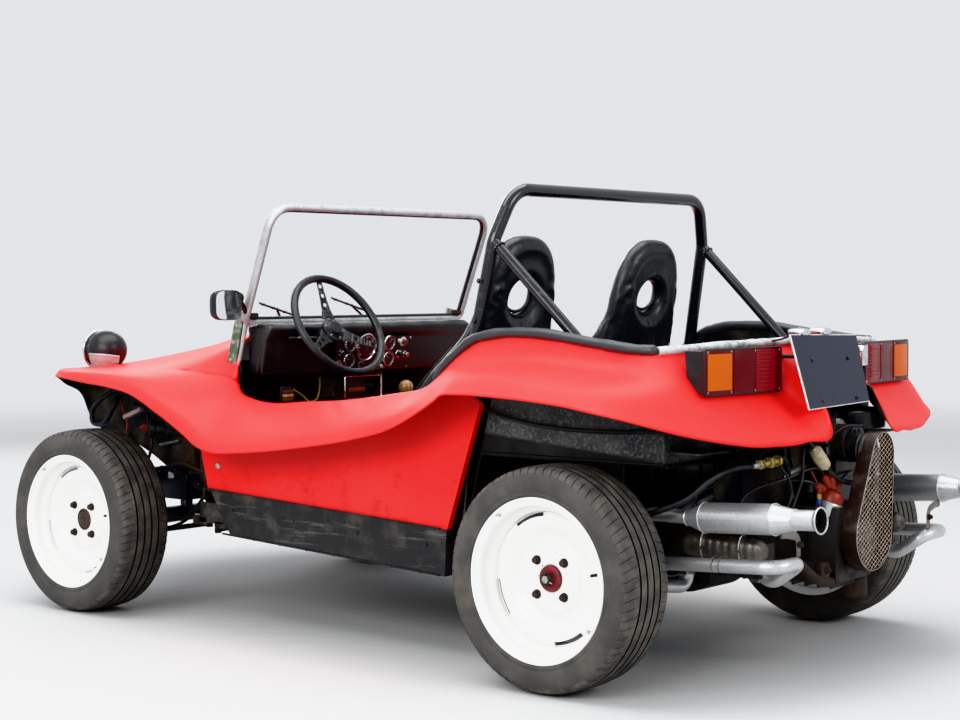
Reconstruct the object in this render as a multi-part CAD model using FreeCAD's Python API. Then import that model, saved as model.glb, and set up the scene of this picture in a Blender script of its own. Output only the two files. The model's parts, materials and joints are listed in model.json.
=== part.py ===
"""Two-seat open dune buggy on a shortened backbone chassis with a flat-four rear engine.

Lengths are in millimetres.  While the pieces are worked out, x is measured forwards from the
rear axle line, y to the left, and z up from a level AXLE_Z below the wheel centres.  keep()
then moves every piece back by MID_X, so the stored origin lies under the middle of the car,
and lifts it so that tyres of any radius stand on the ground.
"""
import FreeCAD, Part
import math
import os

V = FreeCAD.Vector

# ------------------------------------------------------------------ driving dimensions
WHEELBASE = 2000.0
TRACK_FRONT = 1410.0
TRACK_REAR = 1414.0
AXLE_Z = 305.0              # height of the wheel centres while the car is drawn

TYRE_R = 305.0
TYRE_W = 205.0
RIM_W = 190.0               # over the two flanges
RIM_LIP_R = 222.0
BEAD_R = 203.0
WELL_R = 186.0              # drop centre of the rim
RIM_SHEET = 5.0
DISC_SET_IN = 12.0          # wheel disc, inboard of the wheel's centre plane
HUB_HOLE_R = 38.0
BOLT_PCD = 130.0
BOLT_COUNT = 4
BOLT_R = 7.0
DRUM_R = 122.0
DRUM_W = 62.0
AXLE_STUB_R = 18.0

PIN_GAP = 0.3               # clearance at pins, shafts and seats
KNUCKLE_SET_IN = 145.0      # kingpin line, inboard of the front wheel's centre plane
STEER_ARM = 110.0           # knuckle arms and pitman arm, all pointing back
PITMAN_Y = 270.0
BEAM_AHEAD = 150.0          # torsion beam, ahead of the front axle line
BEAM_TUBE_R = 29.0
BEAM_WALL = 5.0
BEAM_SET_IN = 90.0          # beam's end plates, inboard of the kingpins
BEAM_Z = (262.0, 412.0)     # lower and upper torsion tube
BALL_Z = (232.0, 378.0)     # lower and upper swivel

SKIN = 5.0                  # moulded body wall
FLOOR_T = 4.0
FLOOR_REAR_X = 486.0
FLOOR_Z = 246.0             # underside of the floor at its rear end
FLOOR_FRONT_Z = 292.7       # and at the front end of the sills
TUNNEL_HALF = 85.0
TUNNEL_H = 150.0
SILL_H = 136.0
SILL_W = 65.0
SIDE_WALL_T = 19.0
COCKPIT_REAR_X = 450.0
COWL_BACK = 550.0           # the cowl's rear edge, behind the front axle line
BODY_TRACK = 1410.0         # the front track that the body's tables are drawn for

TUBE_R = 19.0               # roll bar
STAY_R = 16.0
TRIM_R = 15.0               # padded roll on the deck edge
REAR_TRIM_R = 12.0
COLUMN_TILT = 31.0
COLUMN_R = 17.0
SHAFT_R = 9.0
STEERING_WHEEL_R = 178.0
STEERING_RIM_R = 13.5

NOSE_AHEAD = 480.0          # nose tip, ahead of the front axle line
TAILPIPE_X = -668.0

# ------------------------------------------------------------------ worked out from them
SIDES = (("left", 1), ("right", -1))
COWL_X = WHEELBASE - COWL_BACK
MID_X = (WHEELBASE + NOSE_AHEAD + TAILPIPE_X) / 2
KINGPIN_Y = TRACK_FRONT / 2 - KNUCKLE_SET_IN
BEAM_X = WHEELBASE + BEAM_AHEAD
BEAM_HALF = KINGPIN_Y - BEAM_SET_IN
DRUM_BACK = DISC_SET_IN + RIM_SHEET + DRUM_W        # back of a drum, inboard of the wheel's centre


def across(y):
    """A width in the body, spread in step with the front track."""
    return y * TRACK_FRONT / BODY_TRACK


DECK_Y = across(600.0)
SILL_OUT_Y = across(610.0)
SILL_IN_Y = SILL_OUT_Y - SILL_W
SILL_FRONT_X = COWL_X - 43
RAKE = math.degrees(math.atan2(FLOOR_FRONT_Z - FLOOR_Z, SILL_FRONT_X - FLOOR_REAR_X))


# ------------------------------------------------------------------ small tools
def box(x0, x1, y0, y1, z0, z1):
    return Part.makeBox(x1 - x0, y1 - y0, z1 - z0, V(x0, y0, z0))


def rod(start, end, radius, bore=0.0):
    """Round bar or tube between two points."""
    a, b = V(*start), V(*end)
    bar = Part.makeCylinder(radius, (b - a).Length, a, b - a)
    if bore:
        bar = bar.cut(Part.makeCylinder(bore, (b - a).Length, a, b - a))
    return bar


def cross_rod(x, y0, y1, z, radius, bore=0.0):
    """Round bar or tube that lies across the car."""
    return rod((x, y0, z), (x, y1, z), radius, bore)


def plate_y(corners, y0, y1):
    """Plate cut to an outline of (x, z) corners, between two y planes."""
    wire = Part.makePolygon([V(x, y0, z) for x, z in corners + corners[:1]])
    return Part.Face(wire).extrude(V(0, y1 - y0, 0))


def plate_x(corners, x0, x1):
    """Plate cut to an outline of (y, z) corners, between two x planes."""
    wire = Part.makePolygon([V(x0, y, z) for y, z in corners + corners[:1]])
    return Part.Face(wire).extrude(V(x1 - x0, 0, 0))


def plate_z(corners, z0, z1):
    """Plate cut to an outline of (x, y) corners, between two z planes."""
    wire = Part.makePolygon([V(x, y, z0) for x, y in corners + corners[:1]])
    return Part.Face(wire).extrude(V(0, 0, z1 - z0))


def turned(profile, centre, axis):
    """Closed outline of (along, radius) points, turned about an axis through centre."""
    wire = Part.makePolygon([V(a, r, 0) for a, r in profile + profile[:1]])
    solid = Part.Face(wire).revolve(V(0, 0, 0), V(1, 0, 0), 360)
    solid.Placement = FreeCAD.Placement(V(*centre), FreeCAD.Rotation(V(1, 0, 0), V(*axis)))
    return solid


def bent_tube(points, radius, bend, bore=0.0):
    """Tube along straight runs whose corners are rounded to one centre-line radius."""
    pts = [V(*p) for p in points]
    edges, at = [], pts[0]
    for before, corner, after in zip(pts, pts[1:], pts[2:]):
        into = (before - corner).normalize()
        out = (after - corner).normalize()
        half = into.getAngle(out) / 2
        run = bend / math.tan(half)
        start, end = corner + into * run, corner + out * run
        middle = corner + (into + out).normalize() * (bend / math.sin(half) - bend)
        edges += [Part.makeLine(at, start), Part.Arc(start, middle, end).toShape()]
        at = end
    edges.append(Part.makeLine(at, pts[-1]))
    path = Part.Wire(edges)

    def swept(r):
        ring = Part.Wire([Part.Edge(Part.Circle(pts[0], pts[1] - pts[0], r))])
        return path.makePipeShell([ring], True, True)

    tube = swept(radius)
    return tube.cut(swept(bore)) if bore else tube


def shell(rows, thickness):
    """Wall between an outer net of points and the same net set in along its own normals."""
    n, m = len(rows), len(rows[0])
    net = [[V(*p) for p in row] for row in rows]
    inner = []
    for i in range(n):
        for j in range(m):
            along = net[min(i + 1, n - 1)][j] - net[max(i - 1, 0)][j]
            over = net[i][min(j + 1, m - 1)] - net[i][max(j - 1, 0)]
            inner.append(net[i][j] - along.cross(over).normalize() * thickness)
    points = [p for row in net for p in row] + inner
    low = n * m                     # number of the first inner point

    def quad(a, b, c, d):
        return [(a, b, c), (a, c, d)]

    facets = []
    for i in range(n - 1):
        a, b = i * m, (i + 1) * m
        for j in range(m - 1):
            facets += quad(a + j, b + j, b + j + 1, a + j + 1)
            facets += quad(low + a + j, low + a + j + 1, low + b + j + 1, low + b + j)
        facets += quad(a, low + a, low + b, b)
        a, b = a + m - 1, b + m - 1
        facets += quad(a, b, low + b, low + a)
    for a in range(m - 1):
        facets += quad(a, a + 1, low + a + 1, low + a)
        b = (n - 1) * m + a
        facets += quad(b, low + b, low + b + 1, b + 1)
    skin = Part.Shape()
    skin.makeShapeFromMesh((points, facets), 0.01)
    solid = Part.makeSolid(skin)
    if solid.Volume < 0:
        solid.reverse()
    return solid


def mirrored(shape):
    return shape.mirror(V(0, 0, 0), V(0, 1, 0))


def both(shape):
    """The shape and its twin on the other side of the car."""
    return [shape, mirrored(shape)]


def twin(point):
    return (point[0], -point[1], point[2])


def raked(shape):
    """Tilt a piece drawn on a level floor to the floor's slope."""
    tilted = shape.copy()
    tilted.rotate(V(FLOOR_REAR_X, 0, FLOOR_Z), V(0, 1, 0), -RAKE)
    return tilted


BUILT = {}      # the pieces written so far, for what is fitted round them


def fitted(shape, *nodes):
    """The largest solid that is left of a shape where it meets pieces already built."""
    for node in nodes:
        shape = shape.cut(BUILT[node])
    return sorted(shape.Solids, key=lambda s: s.Volume)[-1]


def both_fitted(shape, *nodes):
    """A piece and its twin, each fitted to what is built on its own side."""
    return [fitted(shape, *nodes), fitted(mirrored(shape), *nodes)]


def keep(node, *shapes):
    """Write one sub-part, moved to the stored frame."""
    solids = [s for shape in shapes for s in shape.Solids]
    BUILT[node] = Part.makeCompound(solids)
    piece = solids[0] if len(solids) == 1 else Part.makeCompound(solids)
    piece = piece.copy()
    piece.translate(V(-MID_X, 0, TYRE_R - AXLE_Z))
    piece.exportStep("parts/" + node + ".step")
    b = piece.BoundBox
    state = "" if piece.isValid() else "  INVALID"
    print("%-22s %2d solids  x %7.1f %7.1f  y %7.1f %7.1f  z %7.1f %7.1f%s" % (
        node, len(solids), b.XMin, b.XMax, b.YMin, b.YMax, b.ZMin, b.ZMax, state))


# ------------------------------------------------------------------ wheels
def tyre(x, y):
    """Tyre ring: flat tread, rounded shoulders, bulged side walls down to the rim seat."""
    half = TYRE_W / 2
    wall = TYRE_R - RIM_LIP_R           # how far the tyre stands out of the rim
    flange = RIM_W / 2 - RIM_SHEET      # inside face of the rim's flange
    right = [(flange - 8, BEAD_R), (flange - 3, RIM_LIP_R - 3), (flange - 1, RIM_LIP_R + 1),
             (flange + 7, RIM_LIP_R + 3), (half, RIM_LIP_R + 0.36 * wall),
             (half - 2, RIM_LIP_R + 0.65 * wall),
             (half - 14, RIM_LIP_R + 0.89 * wall), (half - 34, TYRE_R)]
    left = [(-a, r) for a, r in reversed(right)]
    return turned(right + left, (x, y, AXLE_Z), (0, 1, 0))


def rim(x, y, out):
    """Pressed rim and disc in one: flanges, bead seats, drop centre, dished disc with a centre hole."""
    half = RIM_W / 2
    seat = half - 12
    s = RIM_SHEET
    face = -DISC_SET_IN
    bead = BEAD_R - 0.2
    outside = [(8 - seat, bead), (22 - seat, WELL_R), (seat - 42, WELL_R), (seat - 28, bead),
               (seat + 1, bead),
               (half - s, RIM_LIP_R)]
    front = [(half, RIM_LIP_R), (half, RIM_LIP_R - s), (half - s, RIM_LIP_R - s), (seat, BEAD_R - s),
             (seat - 26, BEAD_R - s), (seat - 40, WELL_R - s), (face + 8, WELL_R - s)]
    disc = [(face + 8, 150), (face - 14, 118), (face - 14, 96), (face, 88), (face, HUB_HOLE_R),
            (face - s, HUB_HOLE_R), (face - s, 91), (face - 14 - s, 96), (face - 14 - s, 121),
            (face + 8 - s, 153)]
    back = [(face + 8 - s, WELL_R - s), (26 - seat, WELL_R - s), (-seat, BEAD_R - s),
            (s - half, RIM_LIP_R - s),
            (-half, RIM_LIP_R - s), (-half, RIM_LIP_R), (s - half, RIM_LIP_R), (-seat - 1, bead)]
    wheel = turned(front + disc + back + outside, (x, y, AXLE_Z), (0, out, 0))
    for k in range(BOLT_COUNT):
        turn = math.radians(45 + 360 * k / BOLT_COUNT)
        bolt_x = x + BOLT_PCD / 2 * math.cos(turn)
        bolt_z = AXLE_Z + BOLT_PCD / 2 * math.sin(turn)
        wheel = wheel.cut(cross_rod(bolt_x, y - half, y + half, bolt_z, BOLT_R))
    return wheel


def drum(x, y, out):
    """Brake drum with its hub boss, seated on the back of the wheel disc."""
    face = -DISC_SET_IN - RIM_SHEET
    back = -DRUM_BACK
    bore = AXLE_STUB_R + PIN_GAP
    profile = [(face + 34, 0.0), (face + 34, 20), (face + 26, HUB_HOLE_R - 2), (face, HUB_HOLE_R - 2),
               (face, 86), (face - 20, 92), (face - 20, DRUM_R), (back, DRUM_R), (back, DRUM_R - 8),
               (face - 28, DRUM_R - 8), (face - 28, 46), (face - 44, 40), (face - 44, bore),
               (face - 4, bore), (face - 4, 0.0)]
    return turned(profile, (x, y, AXLE_Z), (0, out, 0))


def make_wheels():
    for end, x, track in (("front", WHEELBASE, TRACK_FRONT), ("rear", 0.0, TRACK_REAR)):
        for name, side in SIDES:
            wheel, y = end + "_" + name, side * track / 2
            keep(wheel + "_tyre", tyre(x, y))
            keep(wheel + "_rim", rim(x, y, side))
            keep(wheel + "_drum", drum(x, y, side))


# ------------------------------------------------------------------ front suspension
BLADE_T = 22.0
ARM_Y = BEAM_HALF + BLADE_T         # outer face of the trailing arms
SHOCK_TOP_Z = BEAM_Z[1] + 150


def beam_tube(z, bore):
    """One torsion tube's outside, or the space that it takes in another piece."""
    return cross_rod(BEAM_X, -BEAM_HALF, BEAM_HALF, z, bore)


def make_front_beam():
    beam = beam_tube(BEAM_Z[0], BEAM_TUBE_R).fuse(beam_tube(BEAM_Z[1], BEAM_TUBE_R))
    low, overlap = BEAM_Z[0] + BEAM_TUBE_R, 6
    webs = [(y, BEAM_Z[1] - BEAM_TUBE_R + overlap) for y in (-158, 150)]
    webs += [(y, BEAM_Z[1] + 110) for y in (-BEAM_HALF, BEAM_HALF - 16)]
    webs += [(y, SHOCK_TOP_Z + 16) for y in (-BEAM_HALF + 6, BEAM_HALF - 16)]
    for y, top in webs:
        beam = beam.fuse(box(BEAM_X - 24, BEAM_X + 24, y, y + 10, low - overlap, top))
    for side in (1, -1):
        ear = box(BEAM_X - 60, BEAM_X + 24, min(side * (BEAM_HALF - 16), side * (BEAM_HALF - 6)),
                  max(side * (BEAM_HALF - 16), side * (BEAM_HALF - 6)), SHOCK_TOP_Z - 60, SHOCK_TOP_Z + 16)
        beam = beam.fuse(ear)
    for z in BEAM_Z:
        beam = beam.cut(beam_tube(z, BEAM_TUBE_R - BEAM_WALL))
    keep("front_beam", beam.removeSplitter())


def make_trailing_arms():
    arms = []
    for z_beam, z_ball in zip(BEAM_Z, BALL_Z):
        blade = plate_y([(BEAM_X + 24, z_beam - 24), (BEAM_X + 24, z_beam + 24), (BEAM_X - 24, z_beam + 24),
                         (WHEELBASE - 20, z_ball + 16), (WHEELBASE - 20, z_ball - 16),
                         (BEAM_X - 24, z_beam - 24)], BEAM_HALF + PIN_GAP, ARM_Y)
        stub = cross_rod(BEAM_X, BEAM_HALF - 60, BEAM_HALF + 1, z_beam, BEAM_TUBE_R - BEAM_WALL - PIN_GAP)
        ball = cross_rod(WHEELBASE, ARM_Y - 2, KINGPIN_Y - 16, z_ball, 9)
        arms += both(blade.fuse([stub, ball]).removeSplitter())
    keep("front_trailing_arms", *arms)


def make_front_shocks():
    y = ARM_Y + 24
    foot, top = V(BEAM_X - 60, y, BEAM_Z[0] + 20), V(BEAM_X - 40, y, SHOCK_TOP_Z)
    middle = (foot + top) * 0.5
    damper = rod(foot, middle, 15).fuse(rod(middle, top, 20))
    damper = damper.fuse(cross_rod(foot.x, ARM_Y + PIN_GAP, y + 6, foot.z, 9))
    damper = damper.fuse(cross_rod(top.x, BEAM_HALF - 6 + PIN_GAP, y + 6, top.z, 9))
    keep("front_shocks", *both(damper.removeSplitter()))


# ------------------------------------------------------------------ steering
ARM_Z = BALL_Z[0] + 42          # middle of the knuckle arms and the pitman arm
ARM_HALF_T = 7.0
ROD_END_X = WHEELBASE - STEER_ARM
ROD_R = 9.0
ROD_PIN_R = 12.0
RODS = [  # side, inner pin's y, drop of the rod under the arms
    ("left", PITMAN_Y, 20.0),
    ("right", PITMAN_Y - 40, 46.0),
]
WHEEL_CENTRE = (COWL_X - 214, 280.0, 961.0)     # steering wheel


def knuckle():
    """Upright with two swivel eyes, stub axle, backing plate and steering arm, on the left."""
    y = KINGPIN_Y
    plate_out = TRACK_FRONT / 2 - DRUM_BACK - 3
    body = rod((WHEELBASE, y, BALL_Z[0] - 22), (WHEELBASE, y, BALL_Z[1] + 22), 15.5)
    web = box(WHEELBASE - 18, WHEELBASE + 18, y - 4, y + 34, BALL_Z[0] + 10, BALL_Z[1] - 10)
    axle = cross_rod(WHEELBASE, y, plate_out + 53, AXLE_Z, AXLE_STUB_R)
    plate = cross_rod(WHEELBASE, plate_out - 7, plate_out, AXLE_Z, DRUM_R - 4)
    arm = box(ROD_END_X - 14, WHEELBASE, y - 11, y + 11, ARM_Z - ARM_HALF_T, ARM_Z + ARM_HALF_T)
    return body.fuse([web, axle, plate, arm]).removeSplitter()


def make_steering():
    keep("front_left_knuckle", knuckle())
    keep("front_right_knuckle", mirrored(knuckle()))
    top = ARM_Z - ARM_HALF_T - PIN_GAP
    for name, inner_y, drop in RODS:
        outer_y = KINGPIN_Y if name == "left" else -KINGPIN_Y
        z = ARM_Z - drop
        ends = (inner_y, outer_y)
        pins = [rod((ROD_END_X, y, z - ROD_PIN_R), (ROD_END_X, y, top), ROD_PIN_R) for y in ends]
        bar = cross_rod(ROD_END_X, inner_y, outer_y, z, ROD_R)
        keep("tie_rod_" + name, bar.fuse(pins).removeSplitter())
    low, high = ARM_Z - ARM_HALF_T, ARM_Z + ARM_HALF_T
    pitman = box(ROD_END_X - 14, WHEELBASE + 16, PITMAN_Y - 13, PITMAN_Y + 13, low, high)
    toe = box(ROD_END_X - 14, ROD_END_X + 14, RODS[1][1] - 14, PITMAN_Y, low, high)
    shaft = rod((WHEELBASE, PITMAN_Y, ARM_Z), (WHEELBASE, PITMAN_Y, ARM_Z + 62 - PIN_GAP), 14)
    keep("pitman_arm", pitman.fuse([toe, shaft]).removeSplitter())


def column_point(run):
    """A point on the steering column, run forwards and down from the wheel's centre."""
    tilt = math.radians(COLUMN_TILT)
    return (WHEEL_CENTRE[0] + run * math.cos(tilt), WHEEL_CENTRE[1], WHEEL_CENTRE[2] - run * math.sin(tilt))


def column_space(start, end):
    return rod(column_point(start), column_point(end), COLUMN_R + PIN_GAP)


def make_steering_column():
    case = box(WHEELBASE - 45, WHEELBASE + 95, PITMAN_Y - 40, PITMAN_Y + 50, ARM_Z + 62, ARM_Z + 176)
    clamp = box(WHEELBASE + 80, BEAM_X, PITMAN_Y - 30, PITMAN_Y + 40, BEAM_Z[1] - 16, BEAM_Z[1] + 16)
    case = case.fuse([rod(column_point(900), column_point(985), 26), clamp])
    case = case.cut(beam_tube(BEAM_Z[1], BEAM_TUBE_R + PIN_GAP))
    tube = rod(column_point(60), column_point(903), COLUMN_R, SHAFT_R + PIN_GAP)
    keep("steering_column", case.fuse(tube).removeSplitter())


def make_steering_wheel():
    """Rim, three flat spokes dished back to the hub, one of them upright, and the shaft."""
    tilt = math.radians(COLUMN_TILT)
    back = V(-math.cos(tilt), 0, math.sin(tilt))
    up, left = V(math.sin(tilt), 0, math.cos(tilt)), V(0, 1, 0)
    centre = V(*WHEEL_CENTRE)
    spokes = []
    for turn in (90, 210, 330):
        a = math.radians(turn)
        way = left * math.cos(a) + up * math.sin(a)
        side = up * math.cos(a) - left * math.sin(a)
        root = centre - back * 30
        tip = centre + way * (STEERING_WHEEL_R - 6)
        outline = [root - side * 17, tip - side * 12, tip + side * 12, root + side * 17, root - side * 17]
        spokes.append(Part.Face(Part.makePolygon(outline)).extrude(back * 4))
    ring = Part.makeTorus(STEERING_WHEEL_R, STEERING_RIM_R, centre, back)
    hub = Part.makeCylinder(34, 40, centre - back * 55, back)
    shaft = Part.makeCylinder(SHAFT_R, 860, centre - back * 895, back)
    keep("steering_wheel", ring.fuse(spokes + [hub, shaft]).removeSplitter())


# ------------------------------------------------------------------ floor and rear suspension
BULKHEAD_LEAN = 0.26            # how far the bulkhead leans back for each unit of height
TORSION_X = 150.0
TORSION_Z = AXLE_Z + 13
TORSION_R = 38.0
SPRING_PLATE_Y = TRACK_REAR / 2 - 229
SPRING_PLATE_T = 10.0
GEARBOX_HALF = 92.0
TUB_FRONT = [(COWL_X - 10, SILL_IN_Y), (WHEELBASE - 400, across(400)), (WHEELBASE - 220, across(330))]


def mirror_plan(half_plan):
    """Close a plan outline given for the left half, from the back to the front."""
    return half_plan + [(x, -y) for x, y in reversed(half_plan)]


def make_floor():
    pan = plate_z(mirror_plan([(FLOOR_REAR_X, SILL_IN_Y)] + TUB_FRONT), FLOOR_Z, FLOOR_Z + FLOOR_T)
    end_x, t = WHEELBASE + 50, FLOOR_T
    tunnel = box(300, end_x, -TUNNEL_HALF, TUNNEL_HALF, FLOOR_Z, FLOOR_Z + TUNNEL_H)
    tunnel = tunnel.cut(box(300 - t, end_x + t, t - TUNNEL_HALF, TUNNEL_HALF - t, FLOOR_Z + t,
                            FLOOR_Z + TUNNEL_H - t))
    head = box(WHEELBASE + 30, BEAM_X, -60, 60, BEAM_Z[0] - 22, BEAM_Z[1] + 24)
    for z in BEAM_Z:
        head = head.cut(beam_tube(z, BEAM_TUBE_R + PIN_GAP))
    keep("floor_pan", raked(pan.fuse(tunnel)).fuse(head).removeSplitter())
    top = FLOOR_Z + SILL_H
    sill = plate_y([(FLOOR_REAR_X, FLOOR_Z), (SILL_FRONT_X, FLOOR_Z), (SILL_FRONT_X + 103, top),
                    (FLOOR_REAR_X, top)], SILL_IN_Y, SILL_OUT_Y)
    keep("side_sills", *both(raked(sill)))


def make_rear_suspension():
    half = SPRING_PLATE_Y + 2
    housing = cross_rod(TORSION_X, -half, half, TORSION_Z, TORSION_R, TORSION_R - 8)
    horns = [box(TORSION_X, FLOOR_REAR_X - 156, y - 19, y + 19, 270, 330) for y in (-62, 62)]
    plate = plate_y([(190, 280), (190, 356), (110, 356), (-30, 345), (-95, 325), (-95, 280),
                     (-30, 262), (110, 280)],
                    SPRING_PLATE_Y, SPRING_PLATE_Y + SPRING_PLATE_T)
    plate = plate.cut(cross_rod(0, SPRING_PLATE_Y - 8, SPRING_PLATE_Y + 22, AXLE_Z, 36))
    keep("rear_torsion_tube", housing.fuse(horns + both(plate)).removeSplitter())
    case = cross_rod(0, -GEARBOX_HALF, GEARBOX_HALF, AXLE_Z, 118)
    case = case.fuse(box(0, TORSION_X + 100, -61, 61, 250, 380))
    case = case.cut(cross_rod(TORSION_X, -200, 200, TORSION_Z, TORSION_R + PIN_GAP))
    case = case.common(box(ENGINE_FLANGE_X, TORSION_X + 110, -200, 200, 100, 500))
    keep("gearbox", fitted(case, "rear_torsion_tube"))
    end = TRACK_REAR / 2 - DRUM_BACK
    axle = cross_rod(0, GEARBOX_HALF, end + 12, AXLE_Z, 34)
    axle = axle.fuse([cross_rod(0, GEARBOX_HALF, 150, AXLE_Z, 62),
                      cross_rod(0, end - 12, end - 3, AXLE_Z, DRUM_R - 4),
                      cross_rod(0, end - 3, end + 50, AXLE_Z, AXLE_STUB_R)])
    keep("rear_axle_tubes", *both(axle.removeSplitter()))
    y = SPRING_PLATE_Y + 42
    foot, top = V(-76, y, 300), V(30, y, 545)
    middle = foot * 0.45 + top * 0.55
    damper = rod(foot, middle, 16).fuse(rod(middle, top, 22))
    eye = cross_rod(foot.x, SPRING_PLATE_Y + SPRING_PLATE_T + PIN_GAP, y + 10, foot.z, 10)
    keep("rear_shocks", *both(damper.fuse(eye).removeSplitter()))


# ------------------------------------------------------------------ engine and exhaust
CRANK_Z = 362.0
ENGINE_REAR_X = -500.0
ENGINE_FRONT_X = -122.0
ENGINE_FLANGE_X = -95.0         # joint with the gearbox
CASE_HALF = 100.0
SHROUD_X = (-345.0, -250.0)
DYNAMO = (-35.0, 640.0)         # y and z of the generator's shaft
BELT_X = -507.0                 # front face of the two belt pulleys
MUFFLER_Y = 479.0
MUFFLER_Z = 465.0               # at its front end
MUFFLER_RISE = 3.1              # degrees, up towards the outlet
MUFFLER_L = 404.0
PIPE_R = 19.0
PORT_Y = 340.0
PORT_Z = 300.0
GUARD_X = (-565.0, -505.0)
GUARD_LOW = (0.0, CRANK_Z, 79.0)        # y, z and outside radius at the crank
GUARD_TOP = (-35.0, 622.0, 58.0)        # and at the generator


def make_engine():
    case = box(ENGINE_REAR_X, ENGINE_FRONT_X, -CASE_HALF, CASE_HALF, 262, 470)
    case = case.fuse(box(ENGINE_FRONT_X, ENGINE_FLANGE_X, -150, 150, 230, 440))
    keep("engine_case", case.removeSplitter())
    barrels = [box(x - 62, x + 62, CASE_HALF + PIN_GAP, 300, 318, 420) for x in (-200, -345)]
    head = box(-425, -130, 300, 378, PORT_Z, 430)
    keep("cylinder_banks", *both(head.fuse(barrels).removeSplitter()))
    front, back = SHROUD_X[1], SHROUD_X[0]
    y, z = DYNAMO
    shroud = box(back, front, -330, 330, 470 + PIN_GAP, z).fuse(rod((back, y, z), (front, y, z), 150))
    keep("fan_shroud", shroud.removeSplitter())
    dynamo = rod((back - PIN_GAP, y, z), (-490, y, z), 52)
    stand = box(-450, -380, y - 50, y + 50, 470, z)
    keep("generator", dynamo.fuse(stand).removeSplitter())
    keep("belt_pulleys",
         rod((ENGINE_REAR_X, 0, CRANK_Z), (BELT_X - 30, 0, CRANK_Z), 66),
         rod((-490, y, GUARD_TOP[1]), (BELT_X - 28, y, GUARD_TOP[1]), 46))


def make_exhaust():
    """Each side: silencer with a flared outlet, and the two pipes from the head that feed its front end."""
    rise = math.radians(MUFFLER_RISE)
    front_x = TAILPIPE_X + MUFFLER_L
    outside = [(0, 17), (0, 21), (55, 40), (60, 41), (270, 41), (275, 40), (330, 27), (392, 27),
               (MUFFLER_L, 35)]
    inside = [(MUFFLER_L, 31), (394, 23), (330, 23), (270, 36), (60, 36), (20, 17)]
    body = turned(outside + inside, (front_x, MUFFLER_Y, MUFFLER_Z), (-math.cos(rise), 0, math.sin(rise)))
    keep("mufflers", *both(body))
    drop_x, low_z = -112, 330
    low = bent_tube([(front_x, MUFFLER_Y, MUFFLER_Z), (drop_x, MUFFLER_Y, MUFFLER_Z),
                     (drop_x, MUFFLER_Y, low_z),
                     (-541, MUFFLER_Y, 354), (-541, PORT_Y + 16, 354), (-400, PORT_Y, 256),
                     (-400, PORT_Y, PORT_Z)], PIPE_R, 44, PIPE_R - 2)
    feed = bent_tube([(-170, PORT_Y, PORT_Z), (-170, PORT_Y, 252), (-150, MUFFLER_Y, 268),
                      (-150, MUFFLER_Y, 318)], PIPE_R, 30, PIPE_R - 2)
    feed = feed.cut(bent_tube([(drop_x, MUFFLER_Y, low_z + 1), (-200, MUFFLER_Y, 335),
                               (-300, MUFFLER_Y + 1, 340)],
                              PIPE_R, 50))
    keep("header_pipes", *both_fitted(low.fuse(feed).removeSplitter(), "mufflers"))


def make_belt_guard():
    """Shallow pan over the belt: a band round two unequal circles, a mesh face and two feet."""
    (y0, z0, r0), (y1, z1, r1) = GUARD_LOW, GUARD_TOP
    depth = GUARD_X[1] - GUARD_X[0]
    lean = math.atan2(y1 - y0, z1 - z0)
    spread = math.asin((r0 - r1) / math.hypot(y1 - y0, z1 - z0))
    side, way = V(0, math.cos(lean), -math.sin(lean)), V(0, math.sin(lean), math.cos(lean))

    def pan(inset):
        centres = [V(GUARD_X[0], y0, z0), V(GUARD_X[0], y1, z1)]
        radii = [r0 - inset, r1 - inset]
        ends = [Part.makeCylinder(r, depth, c, V(1, 0, 0)) for c, r in zip(centres, radii)]
        corners = []
        for sign in (1, -1):
            normal = side * (sign * math.cos(spread)) + way * math.sin(spread)
            edge = [c + normal * r for c, r in zip(centres, radii)]
            corners += edge if sign > 0 else edge[::-1]
        middle = Part.Face(Part.makePolygon(corners + corners[:1])).extrude(V(depth, 0, 0))
        return ends[0].fuse([ends[1], middle]).removeSplitter()

    band = pan(0.0).cut(pan(3.0))
    face = pan(3.0).common(box(GUARD_X[0] + 2, GUARD_X[0] + 6, -300, 300, 200, 800))
    feet = [box(GUARD_X[1] - 15, ENGINE_REAR_X, y - 3, y + 3, CRANK_Z - 12, CRANK_Z + 12)
            for y in (1 - r0 + 3, r0 - 4)]
    keep("belt_guard", band.fuse([face] + feet).removeSplitter())


# ------------------------------------------------------------------ body
FRONT_SECTIONS = [
    # x ahead of the front axle, crown z, then (y, z) of: hood edge, hood side, foot, fender top,
    # fender edge, lip
    (-COWL_BACK, 968, (430, 945), (508, 895), (530, 785), (650, 735), (745, 665), (760, 615)),
    (-400, 955, (400, 912), (490, 866), (560, 806), (650, 775), (745, 735), (761, 690)),
    (-285, 940, (380, 893), (480, 850), (570, 812), (650, 800), (745, 780), (762, 738)),
    (-182, 925, (360, 872), (470, 838), (570, 815), (650, 808), (745, 795), (763, 757)),
    (-24, 900, (330, 846), (450, 824), (560, 815), (650, 812), (745, 803), (762, 772)),
    (112, 875, (300, 834), (430, 820), (530, 812), (620, 810), (722, 805), (743, 785)),
    (250, 845, (270, 822), (380, 813), (480, 808), (560, 805), (632, 802), (655, 780)),
    (370, 810, (220, 800), (320, 793), (390, 788), (450, 786), (492, 783), (516, 762)),
    (450, 782, (120, 778), (180, 773), (225, 770), (262, 767), (292, 762), (312, 740)),
    (NOSE_AHEAD, 745, (60, 743), (90, 741), (110, 738), (125, 734), (138, 728), (146, 715)),
]
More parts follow.
